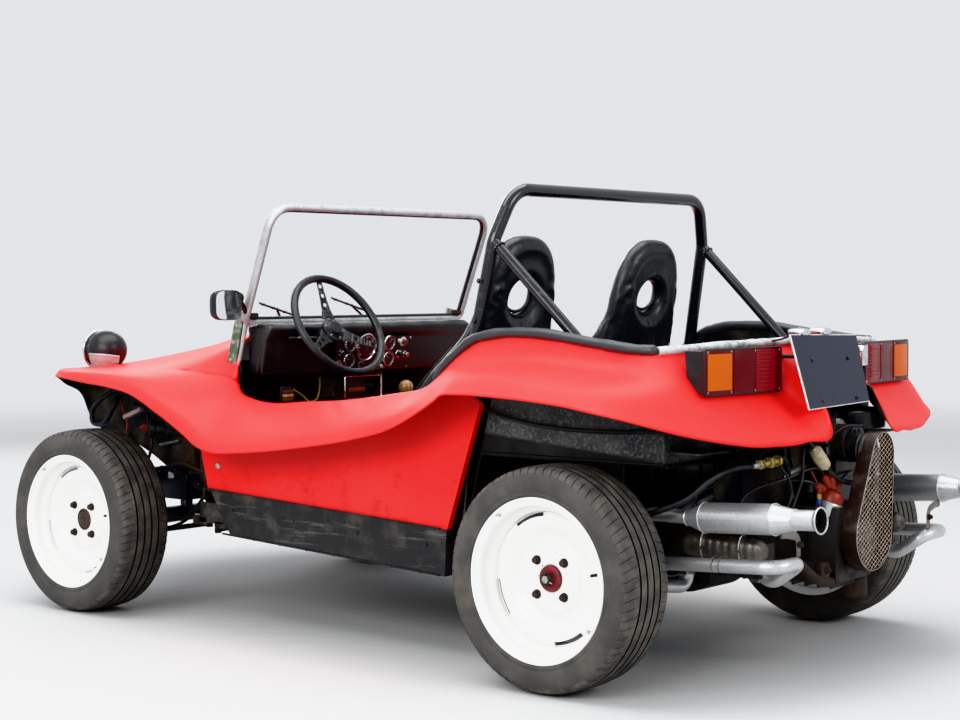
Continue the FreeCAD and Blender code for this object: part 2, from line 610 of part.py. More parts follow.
FLANGE_SECTIONS = [
    # share of the cockpit's length from its rear end, then (y, z) of: cockpit edge, shoulder, edge, lip
    (0.9997, (545, 765), (650, 734), (745, 664), (760, 614)),
    (0.950, (558, 748), (650, 712), (744, 634), (760, 586)),
    (0.878, (568, 728), (650, 690), (742, 612), (760, 569)),
    (0.765, (577, 720), (655, 682), (742, 615), (760, 574)),
    (0.650, (580, 729), (655, 692), (742, 628), (760, 584)),
    (0.477, (583, 740), (655, 706), (742, 650), (760, 606)),
    (0.269, (587, 766), (655, 732), (742, 680), (760, 640)),
    (0.110, (590, 797), (655, 765), (742, 715), (760, 680)),
]
# where flange and rear body meet
SEAM = [(445, 600, 888), (450, 640, 838), (425, 705, 797), (399, 760, 764)]
REAR_STATIONS = [
    # (x, y, z) of: deck edge, shoulder, bulge, lip; the left half, from the front of the rear fender
    # to the middle
    SEAM,
    ((380, 600, 930), (392, 625, 870), (380, 708, 822), (368, 762, 784)),
    ((322, 600, 944), (320, 622, 872), (314, 715, 832), (308, 764, 787)),
    ((177, 600, 951), (177, 625, 878), (177, 735, 838), (177, 778, 786)),
    ((-63, 600, 924), (-63, 630, 862), (-63, 750, 818), (-63, 787, 771)),
    ((-185, 600, 911), (-200, 632, 854), (-220, 740, 806), (-225, 780, 748)),
    ((-242, 585, 908), (-285, 618, 854), (-345, 660, 796), (-382, 688, 704)),
    ((-268, 500, 912), (-330, 512, 856), (-402, 520, 792), (-470, 512, 674)),
    ((-288, 380, 917), (-350, 384, 858), (-430, 386, 792), (-530, 384, 673)),
    ((-305, 262, 920), (-365, 263, 861), (-450, 264, 796), (-580, 262, 698)),
    ((-314, 215, 922), (-360, 215, 878), (-396, 215, 852), (-420, 215, 832)),
    ((-328, 90, 924), (-368, 90, 890), (-396, 90, 864), (-414, 90, 846)),
]
PANEL_DROP = 27.0               # side panel's top, under the cockpit edge


def cockpit_x(share):
    """A place along the cockpit, 0 at its rear end and 1 at the cowl."""
    return COCKPIT_REAR_X + share * (COWL_X - COCKPIT_REAR_X)


def widened(points):
    return [(x, across(y), z) for x, y, z in points]


def make_front_body():
    rows = []
    for ahead, crown, *half in FRONT_SECTIONS:
        x = WHEELBASE + ahead
        left = [(x, across(y), z) for y, z in reversed(half)]
        rows.append(left + [(x, 0, crown)] + [twin(p) for p in reversed(left)])
    keep("front_body", shell(rows, SKIN))


def make_side_flanges():
    rows = []
    for share, *half in FLANGE_SECTIONS:
        rows.append([(cockpit_x(share), across(y), z) for y, z in reversed(half)])
    rows.append([(x + PIN_GAP, y, z) for x, y, z in reversed(widened(SEAM))])
    keep("side_flanges", *both_fitted(shell(rows, SKIN), "front_body"))
    top = [(cockpit_x(share), edge[1] - PANEL_DROP) for share, edge, *rest in reversed(FLANGE_SECTIONS)]
    panel = plate_y([(COWL_X + 65, 425), (FLOOR_REAR_X - 2, 375), (356, 748), (440, 800)] + top[:-2] +
                    [(COWL_X - 50, 700), (COWL_X + 50, 680), (COWL_X + 110, 600)],
                    DECK_Y + 4 - SIDE_WALL_T, DECK_Y + 4)
    keep("side_panels", *both_fitted(panel, "side_sills", "side_flanges", "front_body"))


def make_rear_body():
    left = [list(reversed(widened(row))) for row in REAR_STATIONS]
    right = [[twin(p) for p in row] for row in reversed(left)]
    keep("rear_body", fitted(shell(left + right, SKIN), "side_flanges", "side_panels"))


def make_footwell():
    """Walls of the tub ahead of the cockpit, from the floor up to the bonnet, and its front bulkhead."""
    inset = FLOOR_T
    outline = mirror_plan([(x - inset, y - inset) for x, y in TUB_FRONT])
    hollow = [(x - inset - SKIN, y - inset - SKIN) for x, y in TUB_FRONT]
    hollow[0] = (hollow[0][0] - 11, hollow[0][1])
    walls = plate_z(outline, 330, 830).cut(plate_z(mirror_plan(hollow), 320, 840)).cut(column_space(500, 880))
    keep("footwell", fitted(walls, "front_body", "floor_pan", "side_flanges"))


# ------------------------------------------------------------------ luggage well
WELL_HALF = TRACK_REAR / 2 - 147       # clear of the rear tyres
WELL_REAR_X = -245.0
WELL_Z = 600.0
WELL_TOP_Z = 885.0


def bulkhead_x(z):
    return FLOOR_REAR_X - (z - FLOOR_Z) * BULKHEAD_LEAN


def make_luggage_well():
    """Open-topped tub: its front wall runs down to the floor, its rim reaches out under the deck edge."""
    t, h = SKIN, WELL_HALF
    low, top = WELL_Z, WELL_TOP_Z
    outside = plate_y([(WELL_REAR_X, low), (bulkhead_x(low), low), (bulkhead_x(top), top),
                       (WELL_REAR_X, top)], -h, h)
    inside = plate_y([(WELL_REAR_X + t, low + t), (bulkhead_x(low + t) - t, low + t),
                      (bulkhead_x(top + t) - t, top + t), (WELL_REAR_X + t, top + t)], t - h, h - t)
    bulkhead = plate_y([(bulkhead_x(FLOOR_Z), FLOOR_Z), (bulkhead_x(low), low), (bulkhead_x(low) - t, low),
                        (bulkhead_x(FLOOR_Z) - t, FLOOR_Z)], -h, h)
    reach, shelf_x = DECK_Y + 40 - h, WELL_REAR_X - 120
    rims = [box(shelf_x, bulkhead_x(top), y, y + reach + t, top - t, top) for y in (h - t, -h - reach)]
    shelf = box(shelf_x, WELL_REAR_X + t, -h, h, top - t, top)
    tub = outside.cut(inside).fuse(rims + [shelf, bulkhead]).removeSplitter()
    keep("luggage_well", fitted(tub, "rear_body", "floor_pan"))


# ------------------------------------------------------------------ windscreen and dashboard
SCREEN_BASE = (COWL_X - 36, across(514.0), 984.0)       # tube centres at the lower and upper corners
SCREEN_TOP = (COWL_X - 186, across(542.0), 1344.0)
SCREEN_LEAN = (SCREEN_BASE[0] - SCREEN_TOP[0]) / (SCREEN_TOP[2] - SCREEN_BASE[2])
SCREEN_TUBE_R = 11.0
SCREEN_BEND = 55.0
GLASS_T = 5.0
DASH_X = COWL_X - 105
DASH_HALF = across(500.0)
PANEL_T = 14.0
PANEL_HALF = 186.0
SLOT_Y = (-57.0, 122.0)         # console slot
SLOT_Z = (705.0, 781.0)
WIPERS = [  # y and z of: pivot, lower blade end, upper blade end
    ((215, 985), (301, 970), (500, 1018)),
    ((-140, 985), (-31, 999), (135, 1052)),
]


def screen_x(z):
    """The windscreen's middle plane at a height."""
    return SCREEN_BASE[0] - (z - SCREEN_BASE[2]) * SCREEN_LEAN


def make_windscreen():
    low_middle, top_middle = (SCREEN_BASE[0], 0, SCREEN_BASE[2]), (SCREEN_TOP[0], 0, SCREEN_TOP[2])

    def hoop(radius):
        half = bent_tube([low_middle, SCREEN_BASE, SCREEN_TOP, top_middle], radius, SCREEN_BEND)
        return half.fuse(mirrored(half)).removeSplitter()

    x, y = COWL_X, SCREEN_BASE[1] + 6
    strip = plate_y([(x - 79, 1060), (x - 57, 1060), (x - 24, 992), (x + 78, 796), (x + 50, 796),
                     (x - 52, 992)],
                    y - 3, y + 3)
    keep("windscreen_frame", hoop(SCREEN_TUBE_R).fuse(both_fitted(strip, "front_body")).removeSplitter())
    corners = [V(*p) for p in (SCREEN_BASE, SCREEN_TOP, twin(SCREEN_TOP), twin(SCREEN_BASE))]
    normal = (corners[1] - corners[0]).cross(corners[3] - corners[0]).normalize()
    pane = Part.Face(Part.makePolygon(corners + corners[:1])).extrude(normal * GLASS_T)
    pane.translate(normal * (-GLASS_T / 2))
    pane = pane.cut(hoop(SCREEN_TUBE_R + PIN_GAP))
    keep("windscreen_glass", sorted(pane.Solids, key=lambda s: s.Volume)[-1])


def make_dashboard():
    x = DASH_X
    dash = plate_y([(COWL_X - 10, 948), (x + 5, 944), (x - 14, 932), (x - 8, 918), (x, 918), (x + 26, 795),
                    (x + 32, 795), (x + 14, 930), (COWL_X - 10, 938)], -DASH_HALF, DASH_HALF)
    end = plate_y([(COWL_X - 15, 939), (x + 12, 933), (x + 55, 800), (COWL_X - 15, 800)],
                  DASH_HALF - 6, DASH_HALF)
    dash = dash.fuse([end, mirrored(end)]).removeSplitter()
    keep("dashboard", fitted(dash.cut(column_space(20, 400)), "front_body"))
    panel = plate_y([(x - PANEL_T, 916), (x - PIN_GAP, 916), (x + 24.5, 800), (x + 24.5 - PANEL_T, 800)],
                    -PANEL_HALF, PANEL_HALF)
    keep("instrument_panel", panel)
    top = 795 - PIN_GAP
    console = box(x + 20, x + 150, SLOT_Y[0] - 8, SLOT_Y[1] + 8, SLOT_Z[0] - 8, top)
    keep("console", console.cut(box(x, x + 130, SLOT_Y[0], SLOT_Y[1], SLOT_Z[0], SLOT_Z[1])))


def make_mirror_and_wipers():
    stalk = rod((COWL_X - 47, SCREEN_BASE[1] + 3, 1010), (COWL_X - 75, SCREEN_BASE[1] + 71, 1025), 6)
    y = SCREEN_BASE[1] + 20
    head = box(COWL_X - 96, COWL_X - 52, y, y + 139, 986, 1077)
    keep("door_mirror", fitted(head.fuse(stalk), "windscreen_frame"))
    ahead = 22                  # the arms, ahead of the glass
    wipers = []
    for pivot, low, high in WIPERS:
        points = [(screen_x(z) + ahead, y, z) for y, z in (pivot, low, high)]
        middle = tuple((a + b) / 2 for a, b in zip(points[1], points[2]))
        spindle = rod((COWL_X + 12, pivot[0], 950), points[0], 8)
        wiper = spindle.fuse([rod(points[0], middle, 4), rod(points[1], points[2], 5)])
        wipers.append(fitted(wiper, "front_body", "windscreen_frame"))
    keep("wipers", *wipers)


# ------------------------------------------------------------------ roll bar, seats and controls
HOOP_FOOT = (500, SILL_IN_Y - 27, 244)      # beside the sill, on the floor
HOOP = [(412, 556, 930), (357, 538, 1219), (330, 478, 1363)]   # left half, from the foot up
HOOP_BEND = 90.0
STAY_FOOT = (30.0, 528.0, 905.0)
SEAT_Y = 328.0
SEAT_HALF = 185.0
SEAT_LEAN = 10.8
SEAT_X = 542.0                  # back of the cushion
SEAT_HOLE_R = 53.0
BOLSTER_W = 46.0
GEAR_X = 1105.0
BRAKE_X = 962.0


def make_roll_bar():
    left = [HOOP_FOOT] + widened(HOOP)
    hoop = bent_tube(left + [twin(p) for p in reversed(left)], TUBE_R, HOOP_BEND)
    foot = (STAY_FOOT[0], across(STAY_FOOT[1]), STAY_FOOT[2])
    stay = rod((352, across(540), 1210), foot, STAY_R)
    inner, wall = sorted((foot[1] - 6, WELL_HALF - SKIN))
    tab = box(foot[0] - 34, foot[0] + 34, inner, wall, foot[2] - 60, foot[2] - 6)
    bar = hoop.fuse(both(stay) + both(tab)).removeSplitter()
    keep("roll_bar", fitted(bar, "floor_pan", "luggage_well", "side_sills"))


def seat():
    """High-backed bucket: back with a hole and tapered top, cushion, and a bolster down each side."""
    h, low = SEAT_HALF, 430
    back = plate_x([(-h, low), (-h, 1060), (-150, 1190), (-90, 1250), (90, 1250), (150, 1190),
                    (h, 1060), (h, low)],
                   0, 70)
    back = back.cut(rod((-10, 0, 1072), (90, 0, 1072), SEAT_HOLE_R))
    back.rotate(V(0, 0, low), V(0, 1, 0), -SEAT_LEAN)
    back.translate(V(SEAT_X, 0, 0))
    x = SEAT_X
    cushion = plate_y([(x - 10, 330), (x + 430, 380), (x + 450, 480), (x + 390, 500), (x + 50, 440),
                       (x - 20, 470)],
                      -h, h)
    bolsters = []
    for y in (-h, h - BOLSTER_W):
        bolsters.append(plate_y([(x, 335), (x + 420, 380), (x + 410, 560), (x + 250, 620), (x + 150, 762),
                                 (x + 99, 831), (x + 39, 892), (x - 20, 993), (x - 60, 1074), (x - 90, 1040)],
                                y, y + BOLSTER_W))
    return back.fuse([cushion] + bolsters).removeSplitter()


def make_seats():
    left = seat()
    left.translate(V(0, SEAT_Y, 0))
    keep("seats", *both(left))
    rails = []
    for y in (SEAT_Y - 130, SEAT_Y + 130):
        rail = box(SEAT_X + 10, SEAT_X + 400, y - 15, y + 15, FLOOR_Z, 420)
        rails += both_fitted(rail, "floor_pan", "seats")
    keep("seat_rails", *rails)


def make_controls():
    base = FLOOR_Z + TUNNEL_H + 24
    stick = bent_tube([(GEAR_X, 0, base + 20), (GEAR_X + 25, 0, 560), (GEAR_X + 82, 0, 725)], 7, 60)
    knob = Part.makeSphere(24, V(GEAR_X + 89, 0, 746))
    boot = Part.makeCone(46, 16, 58, V(GEAR_X, 0, base), V(0.1, 0, 1))
    gears = fitted(stick.fuse([knob, boot]).removeSplitter(), "floor_pan")
    lever = rod((BRAKE_X, 0, base + 10), (BRAKE_X + 38, 0, 600), 9)
    lever = lever.fuse(rod((BRAKE_X - 12, 0, base - 10), (BRAKE_X, 0, base + 26), 26))
    keep("floor_levers", gears, fitted(lever.removeSplitter(), "floor_pan"))
    pedals = []
    for y, x in ((150, COWL_X + 150), (245, COWL_X + 150), (335, COWL_X + 135)):
        lever = rod((x + 28, y, 298), (x - 30, y, 520), 7)
        pad = plate_y([(x - 40, 500), (x - 48, 540), (x - 38, 545), (x - 28, 505)], y - 28, y + 28)
        pedals.append(fitted(lever.fuse(pad).removeSplitter(), "floor_pan"))
    keep("pedals", *pedals)
    tank_x = TUB_FRONT[2][0] - FLOOR_T + PIN_GAP
    keep("fuel_tank", box(tank_x, WHEELBASE + 60, -across(326), 225, 620, 788))


# ------------------------------------------------------------------ lights, plate and trim
HEADLIGHT = (WHEELBASE + 225, across(450.0), 872.0)
HEADLIGHT_R = 76.0
PLATE_HALF = 187.0
PLATE_TOP = (-412.0, 944.0)     # x and z of the plate's edges
PLATE_LOW = (-457.0, 748.0)
PLATE_T = 4.0


def make_lights():
    x, y, z = HEADLIGHT
    r = HEADLIGHT_R
    ball = Part.makeSphere(r, V(x, y, z)).common(box(x - 125, x + 43, y - 100, y + 100, z - 172, z + 128))
    ring = rod((x + 37, y, z), (x + 57, y, z), r + 6)
    stem = Part.makeCone(58, 34, 40, V(x, y, z - 71), V(0, 0, 1))
    keep("headlights", *both_fitted(ball.fuse([ring, stem]), "front_body"))
    inner, outer = across(245), across(560)
    housing = plate_z([(-325, inner), (-325, outer), (-376, outer), (-408, inner)], 803, 917)
    keep("tail_lights", *both_fitted(housing, "rear_body"))


def make_plate():
    (top_x, top_z), (low_x, low_z) = PLATE_TOP, PLATE_LOW
    plate = plate_y([(top_x, top_z), (top_x - PLATE_T, top_z), (low_x - PLATE_T, low_z), (low_x, low_z)],
                    -PLATE_HALF, PLATE_HALF)
    drop = 55                   # the two arms, under the plate's top edge
    arm_x = top_x + (low_x - top_x) * drop / (top_z - low_z) - PLATE_T / 2
    arms = [box(arm_x, WELL_REAR_X - 73, y - 10, y + 10, top_z - drop - 7, top_z - drop + 7)
            for y in (-100, 100)]
    keep("number_plate", fitted(plate.fuse(arms).removeSplitter(), "rear_body", "luggage_well"))


def make_trim():
    edge = widened([row[0] for row in REAR_STATIONS])
    roll = bent_tube([(520, across(590), 800)] + edge[:7], TRIM_R, 40)
    tail = edge[7:]
    rail = bent_tube(tail + [twin(p) for p in reversed(tail)], REAR_TRIM_R, 60)
    keep("deck_trim", *both_fitted(roll, "rear_body", "roll_bar", "side_flanges", "luggage_well"),
         fitted(rail, "rear_body", "number_plate", "tail_lights"))


PIECES = (make_wheels, make_front_beam, make_trailing_arms, make_front_shocks, make_steering,
          make_steering_column, make_steering_wheel, make_floor, make_rear_suspension, make_engine,
          make_exhaust, make_belt_guard, make_front_body, make_side_flanges, make_rear_body,
          make_footwell, make_luggage_well, make_windscreen, make_dashboard, make_mirror_and_wipers,
          make_roll_bar, make_seats, make_controls, make_lights, make_plate, make_trim)

os.makedirs("parts", exist_ok=True)
for make in PIECES:
    make()
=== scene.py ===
"""Finishes and fine detail for an open two-seat dune buggy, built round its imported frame.

Lengths are metres.  MM turns the millimetres of the tables into metres.  Places along the
car are counted forwards from the rear axle line, and spot() moves them to the shared frame.
"""
import functools
import json
import math

import bmesh
import bpy
import numpy as np
from mathutils import Matrix, Vector

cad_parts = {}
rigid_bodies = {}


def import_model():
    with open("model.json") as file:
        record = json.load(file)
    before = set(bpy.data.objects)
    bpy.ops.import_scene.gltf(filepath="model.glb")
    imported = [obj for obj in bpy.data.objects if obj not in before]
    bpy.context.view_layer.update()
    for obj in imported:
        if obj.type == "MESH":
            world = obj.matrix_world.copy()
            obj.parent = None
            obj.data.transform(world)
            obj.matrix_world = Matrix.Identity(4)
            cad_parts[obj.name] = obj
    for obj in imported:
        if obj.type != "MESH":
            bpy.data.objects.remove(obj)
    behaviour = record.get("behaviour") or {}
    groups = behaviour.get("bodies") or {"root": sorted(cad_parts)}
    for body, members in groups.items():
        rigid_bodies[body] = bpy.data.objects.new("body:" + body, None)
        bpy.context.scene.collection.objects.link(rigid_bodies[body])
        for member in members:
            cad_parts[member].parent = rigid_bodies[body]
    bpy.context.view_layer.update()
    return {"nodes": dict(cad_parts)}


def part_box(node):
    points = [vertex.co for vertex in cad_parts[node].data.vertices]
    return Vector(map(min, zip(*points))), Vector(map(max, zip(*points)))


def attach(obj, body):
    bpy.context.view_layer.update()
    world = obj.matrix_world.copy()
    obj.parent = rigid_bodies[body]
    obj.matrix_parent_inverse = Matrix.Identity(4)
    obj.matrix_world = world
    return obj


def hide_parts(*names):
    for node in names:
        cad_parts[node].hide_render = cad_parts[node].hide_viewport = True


bl_info = {"name": "Dune Buggy Finishes", "version": (1, 0, 0), "blender": (4, 5, 0),
           "location": "View3D > Sidebar > Buggy", "category": "Object",
           "description": "Builds the finishes and fine detail of an open dune buggy round its packed frame"}

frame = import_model()

MM = 0.001
TURN = 2 * math.pi


def middle_of(node):
    low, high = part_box(node)
    return np.array((low + high) / 2)


def size_of(node):
    low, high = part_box(node)
    return np.array(high - low)


WHEELS = ("front_left", "front_right", "rear_left", "rear_right")
REAR_X = middle_of("rear_left_tyre")[0]
WHEELBASE = middle_of("front_left_tyre")[0] - REAR_X
COWL_X = WHEELBASE - 0.550


def spot(x, y, z):
    """A place given in millimetres from the rear axle line, the middle and the ground."""
    return np.array((REAR_X + x * MM, y * MM, z * MM))


def spots(rows):
    """The same for an array of places."""
    out = np.array(rows, float) * MM
    out[..., 0] += REAR_X
    return out


# ------------------------------------------------------------------ surfaces
def grid_faces(n, m, wrap_u=False, wrap_v=False):
    """Quads of a grid of n rows of m points; wrap joins the last row or column to the first."""
    i = np.arange(n if wrap_u else n - 1)[:, None]
    j = np.arange(m if wrap_v else m - 1)[None, :]
    i2, j2 = (i + 1) % n, (j + 1) % m
    a, b, c, d = i * m + j, i2 * m + j, i2 * m + j2, i * m + j2
    return np.stack([a, b, c, d], -1).reshape(-1, 4)


def spline(values, knots, at):
    """Cubic curve through values at rising knots, its slopes taken over each pair of neighbours."""
    values, knots, at = np.asarray(values, float), np.asarray(knots, float), np.asarray(at, float)
    step = np.diff(knots)
    rise = np.diff(values, axis=0) / step.reshape((-1,) + (1,) * (values.ndim - 1))
    slope = np.concatenate([rise[:1], rise, rise[-1:]])
    weight = np.ones(2)
    if len(step) > 1:
        weight = np.concatenate([[1.0], step[1:] / (step[:-1] + step[1:]), [0.0]])
    weight = weight.reshape((-1,) + (1,) * (values.ndim - 1))
    slope = slope[:-1] * weight + slope[1:] * (1 - weight)
    k = np.clip(np.searchsorted(knots, at, side="right") - 1, 0, len(step) - 1)
    h = step[k]
    t = ((at - knots[k]) / h)
    shape = (-1,) + (1,) * (values.ndim - 1)
    t, h = t.reshape(shape), h.reshape(shape)
    return (values[k] * (1 + 2 * t) * (1 - t) ** 2 + slope[k] * h * t * (1 - t) ** 2 + values[k + 1] * t * t
            * (3 - 2 * t) - slope[k + 1] * h * t * t * (1 - t))


def through(points, steps):
    """A smooth path through points, with steps runs between each two."""
    points = np.asarray(points, float)
    knots = np.concatenate([[0], np.cumsum(np.linalg.norm(np.diff(points, axis=0), axis=1))])
    at = np.interp(np.arange((len(points) - 1) * steps + 1) / steps, np.arange(len(points)), knots)
    return spline(points, knots, at)


def unit(v):
    v = np.asarray(v, float)
    return v / np.maximum(np.linalg.norm(v, axis=-1, keepdims=True), 1e-12)


def sweep(path, radius, sides=12, wide=1.0, up=(0.013, 0.02, 1.0)):
    """Round or oval tube along a path: a circle in each point's plane; radius may change along it."""
    path = np.asarray(path, float)
    way = unit(np.gradient(path, axis=0))
    across = unit(np.cross(np.broadcast_to(up, way.shape), way))
    over = np.cross(way, across)
    a = np.arange(sides) * TURN / sides
    r = np.broadcast_to(radius, (len(path),))[:, None, None]
    circle = across[:, None] * np.cos(a)[:, None] * wide + over[:, None] * np.sin(a)[:, None]
    return path[:, None] + r * circle


def basis(axis):
    """Three square unit vectors, the first along the axis."""
    a = unit(axis)
    b = unit(np.cross(a, (0, 0, 1.0) if abs(a[2]) < 0.9 else (0, 1.0, 0)))
    return a, b, np.cross(a, b)


def turned(profile, centre, axis, sides=64):
    """Surface of (along, radius) points turned about an axis: each row is a circle."""
    a, b, c = basis(axis)
    profile = np.asarray(profile, float)
    turn = np.arange(sides) * TURN / sides
    ring = b[None, :] * np.cos(turn)[:, None] + c[None, :] * np.sin(turn)[:, None]
    return np.asarray(centre) + profile[:, None, :1] * a + profile[:, 1, None, None] * ring[None]


def pebble(centre, half, round_, n=10):
    """Box with rounded edges: a ball's points pushed out to the corners of a smaller box."""
    v = (np.arange(2 * n) + 0.5) / (2 * n) * math.pi
    u = (np.arange(4 * n) + 0.5) / (4 * n) * TURN
    v = np.concatenate([[1e-4], v, [math.pi - 1e-4]])
    ball = np.stack([np.sin(v)[:, None] * np.cos(u), np.sin(v)[:, None] * np.sin(u),
                     np.broadcast_to(np.cos(v)[:, None], (len(v), len(u)))], -1)
    half = np.asarray(half, float)
    inner = np.maximum(half - round_, 1e-5)
    return np.asarray(centre) + np.sign(ball) * inner + ball * np.minimum(round_, half)


def rounded(points, bend, steps=8, closed=False):
    """Path of straight runs; each corner is a parabola that leaves and meets them at the bend's reach."""
    points = [np.asarray(p, float) for p in points]
    count, out = len(points), []
    for k, p in enumerate(points):
        if not closed and k in (0, count - 1):
            out.append(p[None])
            continue
        a, b = points[k - 1] - p, points[(k + 1) % count] - p
        reach = np.broadcast_to(bend, (count,))[k]
        start, end = (p + unit(v) * min(reach, 0.49 * np.linalg.norm(v)) for v in (a, b))
        t = np.linspace(0, 1, steps + 1)[:, None]
        out.append(start * (1 - t) ** 2 + 2 * p * t * (1 - t) + end * t * t)
    return np.concatenate(out)


def even(outline, count):
    """Points at even distances round a closed outline."""
    loop = np.concatenate([np.asarray(outline, float), np.asarray(outline[:1], float)])
    run = np.concatenate([[0], np.cumsum(np.linalg.norm(np.diff(loop, axis=0), axis=1))])
    at = np.arange(count) * run[-1] / count
    return np.stack([np.interp(at, run, loop[:, k]) for k in range(loop.shape[1])], -1)


def pillow(outline, centre, way, thick, roll, dish, steps, hole=0.0):
    """Stuffed flat form: rays run from the centre, or from a hole's edge there, to the outline.

    The half thickness is a quarter circle over the last roll of each ray, and over its first where
    there is a hole; between them it dips by the share dish.  The front is followed by the back.
    """
    ray = outline - centre
    reach = np.linalg.norm(ray, axis=1)
    pierced = np.max(hole) > 0
    start = centre + ray / reach[:, None] * np.reshape(hole, (-1, 1))
    length = reach - hole
    share = np.linspace(0, 1, steps + 1)
    share = (1 - np.cos(math.pi * share)) / 2 if pierced else np.sin(math.pi / 2 * share)
    far = np.clip((1 - share)[:, None] * length / roll, 0, 1)
    high = np.sqrt(1 - (1 - far) ** 2)
    if pierced:
        near = np.clip(share[:, None] * length / roll, 0, 1)
        high = high * np.sqrt(1 - (1 - near) ** 2)
        high = high * (1 - dish * np.sin(math.pi * share)[:, None] ** 2)
    else:
        high = high * (1 - dish * (1 - share)[:, None] ** 1.5)
    flat = start + share[:, None, None] * length[None, :, None] * (ray / reach[:, None])[None]
    lift = high[..., None] * np.asarray(way) * thick / 2
    return np.concatenate([flat + lift, (flat - lift)[::-1][1:]])


class Piece:
    """Grids and plates gathered into one mesh, each with its own finish."""

    def __init__(self, name):
        self.name, self.count = name, 0
        self.points, self.faces, self.slots, self.finishes = [], [], [], []

    def mesh(self, points, faces, finish):
        """Points and a list of faces of any size, in the finish of that name."""
        if finish not in self.finishes:
            self.finishes.append(finish)
        points = np.asarray(points, float).reshape(-1, 3)
        self.faces += [[int(k) + self.count for k in f] for f in faces]
        self.slots += [self.finishes.index(finish)] * len(faces)
        self.points.append(points)
        self.count += len(points)
        return self

    def grid(self, points, finish, wrap_u=False, wrap_v=False, caps=False, flip=False):
        """A grid of points; caps closes the first and last row of a tube."""
        n, m = points.shape[:2]
        faces = grid_faces(n, m, wrap_u, wrap_v)
        faces = (faces[:, ::-1] if flip else faces).tolist()
        if caps:
            ends = [list(range(m)), list(range((n - 1) * m, n * m))[::-1]]
            faces += [e[::-1] for e in ends] if flip else ends
        return self.mesh(points, faces, finish)

    def tube(self, path, radius, finish, sides=12, **shape):
        return self.grid(sweep(path, radius, sides, **shape), finish, wrap_v=True, caps=True, flip=True)

    def rod(self, a, b, radius, finish):
        """A straight round bar between two places."""
        return self.tube([a, (a + b) / 2, b], radius, finish, 8)

    def ring(self, path, radius, finish, sides=12, **shape):
        """A tube whose path closes on itself."""
        path = np.asarray(path)
        around = sweep(np.concatenate([path[-1:], path, path[:1]]), radius, sides, **shape)[1:-1]
        return self.grid(around, finish, wrap_u=True, wrap_v=True, flip=True)

    def turned(self, profile, centre, axis, finish, sides=48, closed=False):
        """A turned part; an open profile that starts and ends on the axis is a solid."""
        return self.grid(turned(profile, centre, axis, sides), finish, wrap_u=closed, wrap_v=True)

    def pebble(self, centre, half, round_, finish, n=8):
        return self.grid(pebble(centre, half, round_, n), finish, wrap_v=True, caps=True)

    def plate(self, outline, thick, finish):
        """Flat plate: an outline of 3-D points moved along the vector thick, with both faces."""
        low = np.asarray(outline, float)
        m = len(low)
        faces = [list(range(m))[::-1], list(range(m, 2 * m))]
        faces += [[k, (k + 1) % m, m + (k + 1) % m, m + k] for k in range(m)]
        return self.mesh(np.concatenate([low, low + np.asarray(thick)]), faces, finish)

    def peg(self, profile, place, axis, finish, sides=48):
        """A solid turned part: the profile is in millimetres and is joined to the axis at both ends."""
        closing = [(profile[-1][0], 0)] if profile[-1][1] else []
        profile = np.array([(profile[0][0], 0), *profile, *closing], float) * MM
        return self.turned(profile, place, axis, finish, sides)

    def bolt(self, place, axis, radius, finish, height=None):
        """Six-sided head with a washer under it and the end of its thread."""
        h, r = (height or radius * 1.2) / MM, radius / MM
        self.peg([(0, 1.35 * r), (0.2 * h, 1.35 * r)], place, axis, finish, 16)
        self.peg([(0.2 * h, r), (0.85 * h, r), (h, 0.8 * r)], place, axis, finish, 6)
        return self.peg([(h, 0.5 * r), (1.3 * h, 0.45 * r)], place, axis, finish, 10)

    def done(self, body="chassis", replaces=(), smooth=35, mirror=False, wall=None):
        """Make the object, let it ride on its body and hide the frame's parts that it replaces."""
        points = np.concatenate(self.points)
        faces, slots = self.faces, self.slots
        if mirror:
            faces = faces + [[k + len(points) for k in f[::-1]] for f in faces]
            slots = slots * 2
            points = np.concatenate([points, points * (1, -1, 1)])
        data = bpy.data.meshes.new(self.name)
        data.from_pydata(points.tolist(), [], faces)
        data.validate()
        for finish in self.finishes:
            data.materials.append(material(finish))
        if len(data.polygons) == len(slots):
            data.polygons.foreach_set("material_index", slots)
        data.polygons.foreach_set("use_smooth", [True] * len(data.polygons))
        item = bpy.data.objects.new(self.name, data)
        bpy.context.scene.collection.objects.link(item)
        tidy(data, smooth)
        if wall:
            thicken = item.modifiers.new("wall", "SOLIDIFY")
            thicken.thickness, thicken.offset = wall, 0
            thicken.use_even_offset = thicken.use_quality_normals = True
        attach(item, body)
        if replaces:
            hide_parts(*replaces)
        return item


def tidy(data, smooth):
    """Merge doubled points, drop slivers, point the faces outwards and mark the sharp edges."""
    work = bmesh.new()
    work.from_mesh(data)
    bmesh.ops.remove_doubles(work, verts=work.verts, dist=2e-6)
    bmesh.ops.dissolve_degenerate(work, edges=work.edges, dist=1e-6)
    bmesh.ops.recalc_face_normals(work, faces=work.faces)
    work.to_mesh(data)
    work.free()
    data.set_sharp_from_angle(angle=math.radians(smooth))


def dress(finish, *nodes):
    """Give CAD nodes their finish."""
    for node in nodes:
        materials = frame["nodes"][node].data.materials
        materials.clear()
        materials.append(material(finish))


